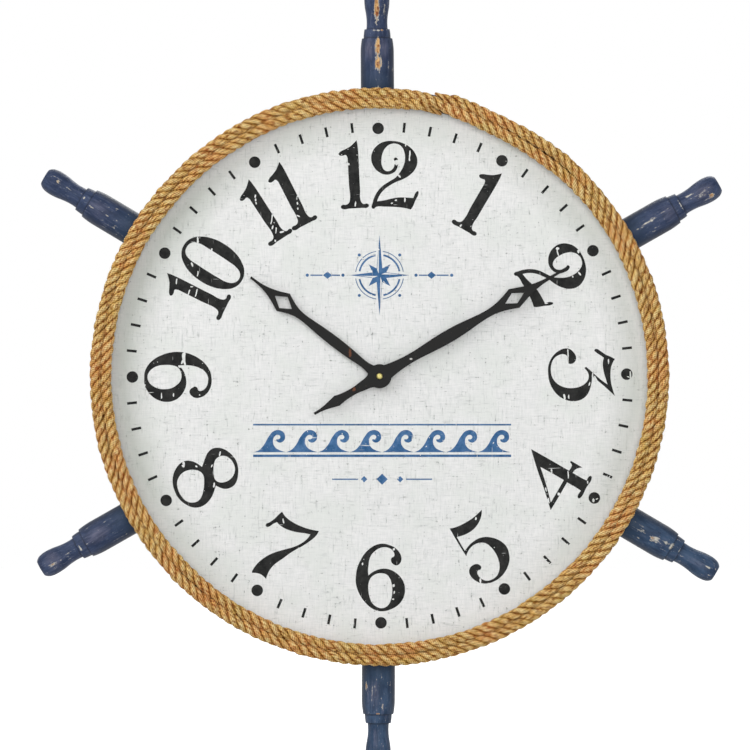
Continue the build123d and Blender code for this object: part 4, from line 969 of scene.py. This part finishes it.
def rub_through():
    """Ragged slivers of bare cloth over the worn places of the print."""
    dice = np.random.default_rng(11)
    pieces = []
    for hour, x, y, length, width, turn in BREAKS:
        knots = []
        for angle in range(0, 360, 360 // SLIVER_CORNERS):
            stray = 1 - SLIVER_STRAY / 2 + SLIVER_STRAY * dice.random()
            along = length / 2 * math.cos(math.radians(angle)) * stray
            knots.append((along, width / 2 * math.sin(math.radians(angle)) * stray))
        sliver = draw([knots])
        sliver.data.transform(on_paper(x, y, turn))
        press(sliver, on_hour(hour), PRINT_LIFT + PRINT_THICKNESS / 2)
        pieces.append(sliver)
    hang(joined(pieces), "worn_places", FINISHES["linen"])


print_hours()
print_minutes()
print_compass()
print_waves()
rub_through()


# The rope: three strands laid right-handed, glued on the rim's front in two rows

ROPE_RADIUS = 0.0046
ROPE_ROWS = (0.2132, 0.2214)
ROPE_GAP = 0.0001
ROPE_HEIGHT = 0.00415
ROPE_FRONT = 0.0413
ROPE_STEP = 0.0011
LAY = 0.0234
STRAND_RADIUS = 0.00258
STRAND_CENTRE = 0.00212
STRAND_SIDES = 36
YARNS = 6
YARN_LAY = 0.0168
YARN_DEPTH = 0.25
YARN_ROUNDNESS = 0.8
PRESSED_SHARE = 0.28

# Its unevenness in waves: (length along it in metres, height). The lay's heights are in radians, the others
# are shares of a strand's thickness or of the pressed shoulder.
LAY_WAVES = [(0.31, 0.5), (0.13, 0.22), (0.07, 0.1)]
STRAND_WAVES = [(0.11, 0.04), (0.037, 0.045), (0.019, 0.035)]
PRESSED_WAVES = [(0.083, 0.05), (0.031, 0.05), (0.0137, 0.04)]
YARN_WAVES = [(0.043, 0.02), (0.017, 0.035), (0.0091, 0.045), (0.0058, 0.035)]

# Where a strand's outer side ends and how far its shade takes to come in, in radians from its outermost line
STRAND_EDGE = 0.95
SHADE_EASE = 0.6

# Its route, in degrees from the right, anticlockwise: it starts at the free end, steps outwards nearly a turn
# later and ends a turn after the step's start
FREE_END = 81.3
STEP_START = 74.3 + 360
STEP_END = 81.3 + 360
STEP_EASE = 2
ROPE_END = STEP_START + 360
KNOT_TURN = 14.0
NEAR_STEP = 20
AFTER_STEP = 12
BEFORE_END = 6

# Both ends taper to a tip that is tucked aside: (share of the taper behind the tip, how far aside of its row)
TAPER_TURN = 4.6
TAPER_LENGTH = 0.0172
TIP_THICKNESS = 0.22
TAPER_KNOTS = [(0.0, 0.0034), (0.32, 0.0023), (0.66, 0.0011)]

# The route wavers in two waves: (height in metres, radians to a degree of the route, start in radians)
WAVERS = [(0.00018, 0.31, 0), (0.00012, 0.73, 2)]

# The stray fibres: how many points of the line stay free of them at each end, how far round the rope's sides
# they grow, their lean as its middle and spread, what else they may measure, the share of them that stay low,
# how deep they start, and the plane in front that none of them passes
FIBRE_COUNT = 900
FIBRE_RINGS = 5
FREE_POINTS = 30
FIBRE_SIDES = 0.35
FIBRE_LEAN = (0.42, 0.45)
FIBRE_CURL = 0.0005
FIBRE_LENGTHS = (0.003, 0.008)
FIBRE_THICKNESSES = (0.00006, 0.00011)
LOW_SHARE = 0.85
LOW_RISES = (0.0001, 0.0011)
HIGH_RISES = (0.001, 0.0024)
FIBRE_ROOT = 0.0004
FIBRE_FRONT = 0.0424


def rope_knots():
    """The rope's route on the rim, from a tapering end beside the step round to the other such end."""
    knots = []
    for share, aside in TAPER_KNOTS:
        knots.append((FREE_END - TAPER_TURN * (1 - share), ROPE_ROWS[0] - aside))
    angles = list(np.arange(FREE_END, STEP_START - 1, KNOT_TURN))
    angles += [STEP_START - STEP_EASE, STEP_START + STEP_EASE, STEP_END - STEP_EASE, STEP_END + STEP_EASE]
    angles += list(np.arange(STEP_END + AFTER_STEP, ROPE_END - BEFORE_END, KNOT_TURN)) + [ROPE_END]
    for angle in angles:
        share = min(1.0, max(0.0, (angle - STEP_START) / (STEP_END - STEP_START)))
        radius = ROPE_ROWS[0] + (ROPE_ROWS[1] - ROPE_ROWS[0]) * share
        if not STEP_START - NEAR_STEP < angle < STEP_END + NEAR_STEP:
            # The spline runs inside its knots, so those that lie far apart are set farther out
            radius /= math.cos(math.radians(KNOT_TURN / 2))
        waver = sum(height * math.sin(angle * rate + start) for height, rate, start in WAVERS)
        knots.append((angle, radius + waver))
    for share, aside in reversed(TAPER_KNOTS):
        knots.append((ROPE_END + TAPER_TURN * (1 - share), ROPE_ROWS[1] + aside))
    return knots


def unit(vectors):
    return vectors / np.linalg.norm(vectors, axis=1)[:, None]


def way_along(points):
    return unit(np.gradient(points, axis=0))


def distance_along(points):
    return np.concatenate([[0], np.cumsum(np.linalg.norm(np.diff(points, axis=0), axis=1))])


def rope_line():
    """The rope's centreline as evenly spaced points read from a smooth spline, with the thickness at each."""
    curve = bpy.data.curves.new("rope_route", "CURVE")
    curve.dimensions = "3D"
    curve.resolution_u = 24
    knots = rope_knots()
    spline = curve.splines.new("NURBS")
    spline.points.add(len(knots) - 1)
    for point, (angle, radius) in zip(spline.points, knots):
        x, z = polar(radius, angle)
        point.co = (x, 0, z, 1)
    spline.order_u = 3
    spline.use_endpoint_u = True
    route = put_in_scene("rope_route", curve)
    bpy.context.view_layer.update()
    line = bpy.data.meshes.new_from_object(route.evaluated_get(bpy.context.evaluated_depsgraph_get()))
    points = np.array([tuple(vertex.co) for vertex in line.vertices])
    bpy.data.objects.remove(route)
    reached = distance_along(points)
    places = np.linspace(0, reached[-1], int(reached[-1] / ROPE_STEP))
    even = np.stack([np.interp(places, reached, points[:, axis]) for axis in range(3)], axis=1)
    from_end = np.minimum(places, places[-1] - places)
    thickness = TIP_THICKNESS + (1 - TIP_THICKNESS) * np.clip(from_end / TAPER_LENGTH, 0, 1)
    even[:, 1] = -(RIM_FACE + ROPE_GAP + ROPE_HEIGHT * thickness)
    return even, places, thickness


def waves(places, seed, sizes):
    """A gentle unevenness along the rope."""
    dice = np.random.default_rng(seed)
    total = np.zeros_like(places)
    for length, height in sizes:
        total += height * np.sin(2 * math.pi * places / length + dice.random() * 6.28)
    return total


def rope_frame(line):
    """Along the rope, away from the dial's centre and out from the wall, at each point."""
    along = way_along(line)
    away = unit(np.cross([0.0, 1.0, 0.0], along))
    return along, away, np.cross(along, away)


def strand_centre(line, places, thickness, number):
    """A strand's own centreline, the way from the rope's middle to it and how much thicker it is there."""
    away, up = rope_frame(line)[1:]
    turn = 2 * math.pi * places / LAY + 2 * math.pi * number / 3
    turn += waves(places, 5, LAY_WAVES)
    out = np.cos(turn)[:, None] * away + np.sin(turn)[:, None] * up
    swell = waves(places, 20 + number, STRAND_WAVES)
    centre = line + (STRAND_CENTRE * thickness * (1 + 0.5 * swell))[:, None] * out
    return centre, out, swell


def pressed_square(rings, line, places):
    """Where the two rows press on each other the rope's shoulder is squarer and fills the valley."""
    away, up = rope_frame(line)[1:]
    offset = rings - line[:, None, :]
    aside = (offset * away[:, None, :]).sum(2)
    rise = (offset * up[:, None, :]).sum(2)
    between = sum(ROPE_ROWS) / 2
    from_valley = between - np.hypot(line[:, 0], line[:, 2])
    facing = np.clip(from_valley / (between - ROPE_ROWS[0]), -1, 1)[:, None]
    corner = np.sin(2 * np.arctan2(rise, aside)) ** 2 * np.abs(facing)
    push = PRESSED_SHARE + waves(places, 77, PRESSED_WAVES)[:, None]
    swell = (push * corner * (aside * facing > 0) * (rise > 0))[:, :, None]
    return rings + swell * (aside[:, :, None] * away[:, None, :] + rise[:, :, None] * up[:, None, :])


def tube_wall(rings, sides, first=0):
    """The quads between a tube's rings of points, from the number of its first point on."""
    faces = []
    for low in range(first, first + (rings - 1) * sides, sides):
        for k in range(sides):
            after = (k + 1) % sides
            faces.append((low + k, low + after, low + sides + after, low + sides + k))
    return faces


def lay_strand(line, places, thickness, number):
    """One strand of six twisted yarns, as a tube with closed ends."""
    centre, out, swell = strand_centre(line, places, thickness, number)
    forward = way_along(centre)
    out = unit(out - (out * forward).sum(1)[:, None] * forward)
    side = np.cross(forward, out)
    around = np.linspace(-math.pi, math.pi, STRAND_SIDES, endpoint=False)
    travelled = distance_along(centre)
    yarn_turn = around[None, :] + 2 * math.pi * travelled[:, None] / YARN_LAY
    ridge = np.abs(np.cos(YARNS / 2 * yarn_turn)) ** YARN_ROUNDNESS
    yarn = np.floor((yarn_turn + math.pi / YARNS) / (2 * math.pi / YARNS)).astype(int) % YARNS
    lifts = [waves(travelled, 60 + 10 * number + k, YARN_WAVES) for k in range(YARNS)]
    lift = np.take_along_axis(np.stack(lifts, axis=1), yarn, axis=1)
    height = 1 - YARN_DEPTH + YARN_DEPTH * ridge + lift
    radius = STRAND_RADIUS * thickness[:, None] * (1 + swell[:, None]) * height
    outwards = np.cos(around)[None, :, None] * out[:, None, :]
    outwards += np.sin(around)[None, :, None] * side[:, None, :]
    rings = pressed_square(centre[:, None, :] + radius[:, :, None] * outwards, line, places)
    rings[:, :, 1] = np.clip(rings[:, :, 1], -ROPE_FRONT, -RIM_FACE - ROPE_GAP)
    points = np.concatenate([rings.reshape(-1, 3), centre[:1], centre[-1:]])
    first = len(points) - 2
    last_ring = first - STRAND_SIDES
    faces = tube_wall(len(line), STRAND_SIDES)
    for k in range(STRAND_SIDES):
        after = (k + 1) % STRAND_SIDES
        faces.append((first, after, k))
        faces.append((first + 1, last_ring + k, last_ring + after))
    strand = mesh_piece("strand", points, faces)
    map_strand(strand.data, yarn_turn, travelled, ridge + lift, around)
    return strand


def map_strand(mesh, yarn_turn, travelled, ridge, around):
    """The yarns' own map and two strengths for the rope's colours, a painted shade and a painted highlight.

    The painted shade is strong between two yarns and on the strand's inner side, the painted highlight on its
    outermost yarns.
    """
    aside = np.abs(around)[None, :]
    hollow = np.clip((1.0 - ridge) * 1.15 - 0.15, 0, 1)
    inside = np.clip((aside - STRAND_EDGE) / SHADE_EASE, 0, 1)
    crest_highlight = np.clip(1.3 - aside / STRAND_EDGE, 0, 1) * np.clip(ridge * 1.6 - 0.5, 0, 1)
    for name, values in (("groove_shade", np.clip(hollow + 0.72 * inside, 0, 1)), ("crest_highlight", crest_highlight)):
        attribute = mesh.attributes.new(name, "FLOAT", "POINT")
        attribute.data.foreach_set("value", np.append(values.ravel(), [0, 0]).astype(np.float32))
    corner = np.zeros(len(mesh.loops), int)
    mesh.loops.foreach_get("vertex_index", corner)
    wrap = np.zeros(len(mesh.loops))
    order = np.arange((len(travelled) - 1) * STRAND_SIDES * 4)
    at_seam = (order // 4 % STRAND_SIDES) == STRAND_SIDES - 1
    second_side = (order % 4 == 1) | (order % 4 == 2)
    wrap[:len(order)] = at_seam & second_side
    known = np.minimum(corner, yarn_turn.size - 1)
    turns = (yarn_turn / (2 * math.pi)).ravel()[known] + wrap
    lengths = np.repeat(travelled, STRAND_SIDES)[known]
    layer = mesh.uv_layers.new(name="yarns")
    layer.data.foreach_set("uv", np.stack([turns, lengths], axis=1).astype(np.float32).ravel())
    mesh.polygons.foreach_set("use_smooth", [True] * len(mesh.polygons))


def stray_fibres(line):
    """Short hairs of the yarn that stand off the rope: three-sided and bent once or twice."""
    dice = np.random.default_rng(7)
    along, away, up = rope_frame(line)
    points = []
    faces = []
    for _ in range(FIBRE_COUNT):
        at = int(dice.integers(FREE_POINTS, len(line) - FREE_POINTS))
        turn = dice.uniform(-FIBRE_SIDES, math.pi + FIBRE_SIDES)
        out = math.cos(turn) * away[at] + math.sin(turn) * up[at]
        across = np.cross(along[at], out)
        lean = FIBRE_LEAN[0] + dice.normal(0, FIBRE_LEAN[1])
        way = along[at] * math.cos(lean) * (1 if dice.random() < 0.5 else -1) + across * math.sin(lean)
        length = dice.uniform(*FIBRE_LENGTHS)
        rise = dice.uniform(*LOW_RISES) if dice.random() < LOW_SHARE else dice.uniform(*HIGH_RISES)
        curl = dice.normal(0, FIBRE_CURL)
        start = line[at] + out * (ROPE_RADIUS - FIBRE_ROOT)
        thin = dice.uniform(*FIBRE_THICKNESSES)
        base = len(points)
        for ring in range(FIBRE_RINGS):
            share = ring / (FIBRE_RINGS - 1)
            centre = start + way * length * share + out * (rise * share ** 1.5) + across * curl * share ** 2
            centre = centre - out * (length * share) ** 2 / (2 * ROPE_RADIUS) * (math.sin(lean) ** 2)
            width = thin * (1 - 0.6 * share)
            for corner in range(3):
                angle = 2 * math.pi * corner / 3
                points.append(centre + width * (math.cos(angle) * across + math.sin(angle) * out))
        top = len(points) - 3
        faces += tube_wall(FIBRE_RINGS, 3, base)
        faces += [(base + 2, base + 1, base), (top, top + 1, top + 2)]
    points = np.array(points)
    points[:, 1] = np.clip(points[:, 1], -FIBRE_FRONT, -RIM_FACE - 2 * ROPE_GAP)
    return mesh_piece("fibres", points, faces)


rope_points, rope_places, rope_thickness = rope_line()
strands = [lay_strand(rope_points, rope_places, rope_thickness, number) for number in range(3)]
for number, strand in enumerate(strands):
    hang(strand, f"rope_strand_{number + 1}", FINISHES["rope"])
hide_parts("rope_wrap")
hang(stray_fibres(rope_points), "rope_fibres", FINISHES["fibre"])


# Light, floor and camera

FLOOR_SIZE = 8
FLOOR_HEIGHT = -0.3056
FLOOR_GLOW = 0.85
SHADE_LEVEL = 0.3

# The lamps: name, place, diameter and power in watts. All of them point at the wheel's middle.
LAMPS = [
    ("key", (-2.2, -2.0, 1.9), 3.2, 59),
    ("front", (0.4, -3.1, 0.4), 2.4, 46),
    ("back", (0.4, 2.0, 1.6), 1.6, 26),
]

# The photograph's width and the dial's middle in it, in its own pixels: one of them is one step of the grid
PICTURE_WIDTH = 750
DIAL_MIDDLE = (379.5, 376.2)
CAMERA_DISTANCE = 4.0


def looked_at(tree):
    """1 where the camera looks, straight, mirrored or through glass, and 0 for the light on the clock."""
    path = tree.nodes.new("ShaderNodeLightPath")
    seen = path.outputs["Is Camera Ray"]
    for ray in ("Is Glossy Ray", "Is Transmission Ray"):
        either = tree.nodes.new("ShaderNodeMath")
        either.operation = "MAXIMUM"
        tree.links.new(seen, either.inputs[0])
        tree.links.new(path.outputs[ray], either.inputs[1])
        seen = either.outputs[0]
    return seen


def set_stage():
    bpy.ops.mesh.primitive_plane_add(size=FLOOR_SIZE, location=(0, 0, FLOOR_HEIGHT))
    floor = bpy.context.object
    floor.name = "floor"
    paint = Paint("pale_floor")
    colour = paint.blend(paint.noise(3), tint(204, 204, 204), tint(212, 212, 212))
    paint.set(Base_Color=colour, Roughness=0.9)
    tree = paint.tree
    glow = tree.nodes.new("ShaderNodeEmission")
    tree.links.new(paint.times(looked_at(tree), FLOOR_GLOW), glow.inputs["Strength"])
    both = tree.nodes.new("ShaderNodeAddShader")
    tree.links.new(paint.shader.outputs[0], both.inputs[0])
    tree.links.new(glow.outputs[0], both.inputs[1])
    tree.links.new(both.outputs[0], tree.nodes["Material Output"].inputs["Surface"])
    floor.data.materials.append(paint.material)


def light_lamps():
    for name, place, diameter, power in LAMPS:
        light = bpy.data.lights.new(name, "AREA")
        light.shape = "DISK"
        light.size = diameter
        light.energy = power
        lamp = put_in_scene(name, light)
        lamp.location = place
        lamp.rotation_mode = "QUATERNION"
        lamp.rotation_quaternion = (-Vector(place)).to_track_quat("-Z", "Y")


def light_world():
    """White where the camera looks and a softer light elsewhere."""
    world = bpy.data.worlds.new("studio")
    bpy.context.scene.world = world
    world.use_nodes = True
    tree = world.node_tree
    background = tree.nodes["Background"]
    level = tree.nodes.new("ShaderNodeMapRange")
    level.inputs["To Min"].default_value = SHADE_LEVEL
    level.inputs["To Max"].default_value = 1.0
    tree.links.new(looked_at(tree), level.inputs["Value"])
    tree.links.new(level.outputs[0], background.inputs["Strength"])
    background.inputs["Color"].default_value = (1, 1, 1, 1)


def place_camera():
    camera = bpy.data.cameras.new("camera")
    eye = put_in_scene("camera", camera)
    middle = PICTURE_WIDTH / 2
    eye.location = ((middle - DIAL_MIDDLE[0]) * GRID, -CAMERA_DISTANCE, (DIAL_MIDDLE[1] - middle) * GRID)
    eye.rotation_euler = (math.pi / 2, 0, 0)
    camera.lens = camera.sensor_width * (CAMERA_DISTANCE - DIAL_FACE) / (PICTURE_WIDTH * GRID)
    bpy.context.scene.camera = eye
    bpy.context.scene.view_settings.view_transform = "Standard"


set_stage()
light_lamps()
light_world()
place_camera()
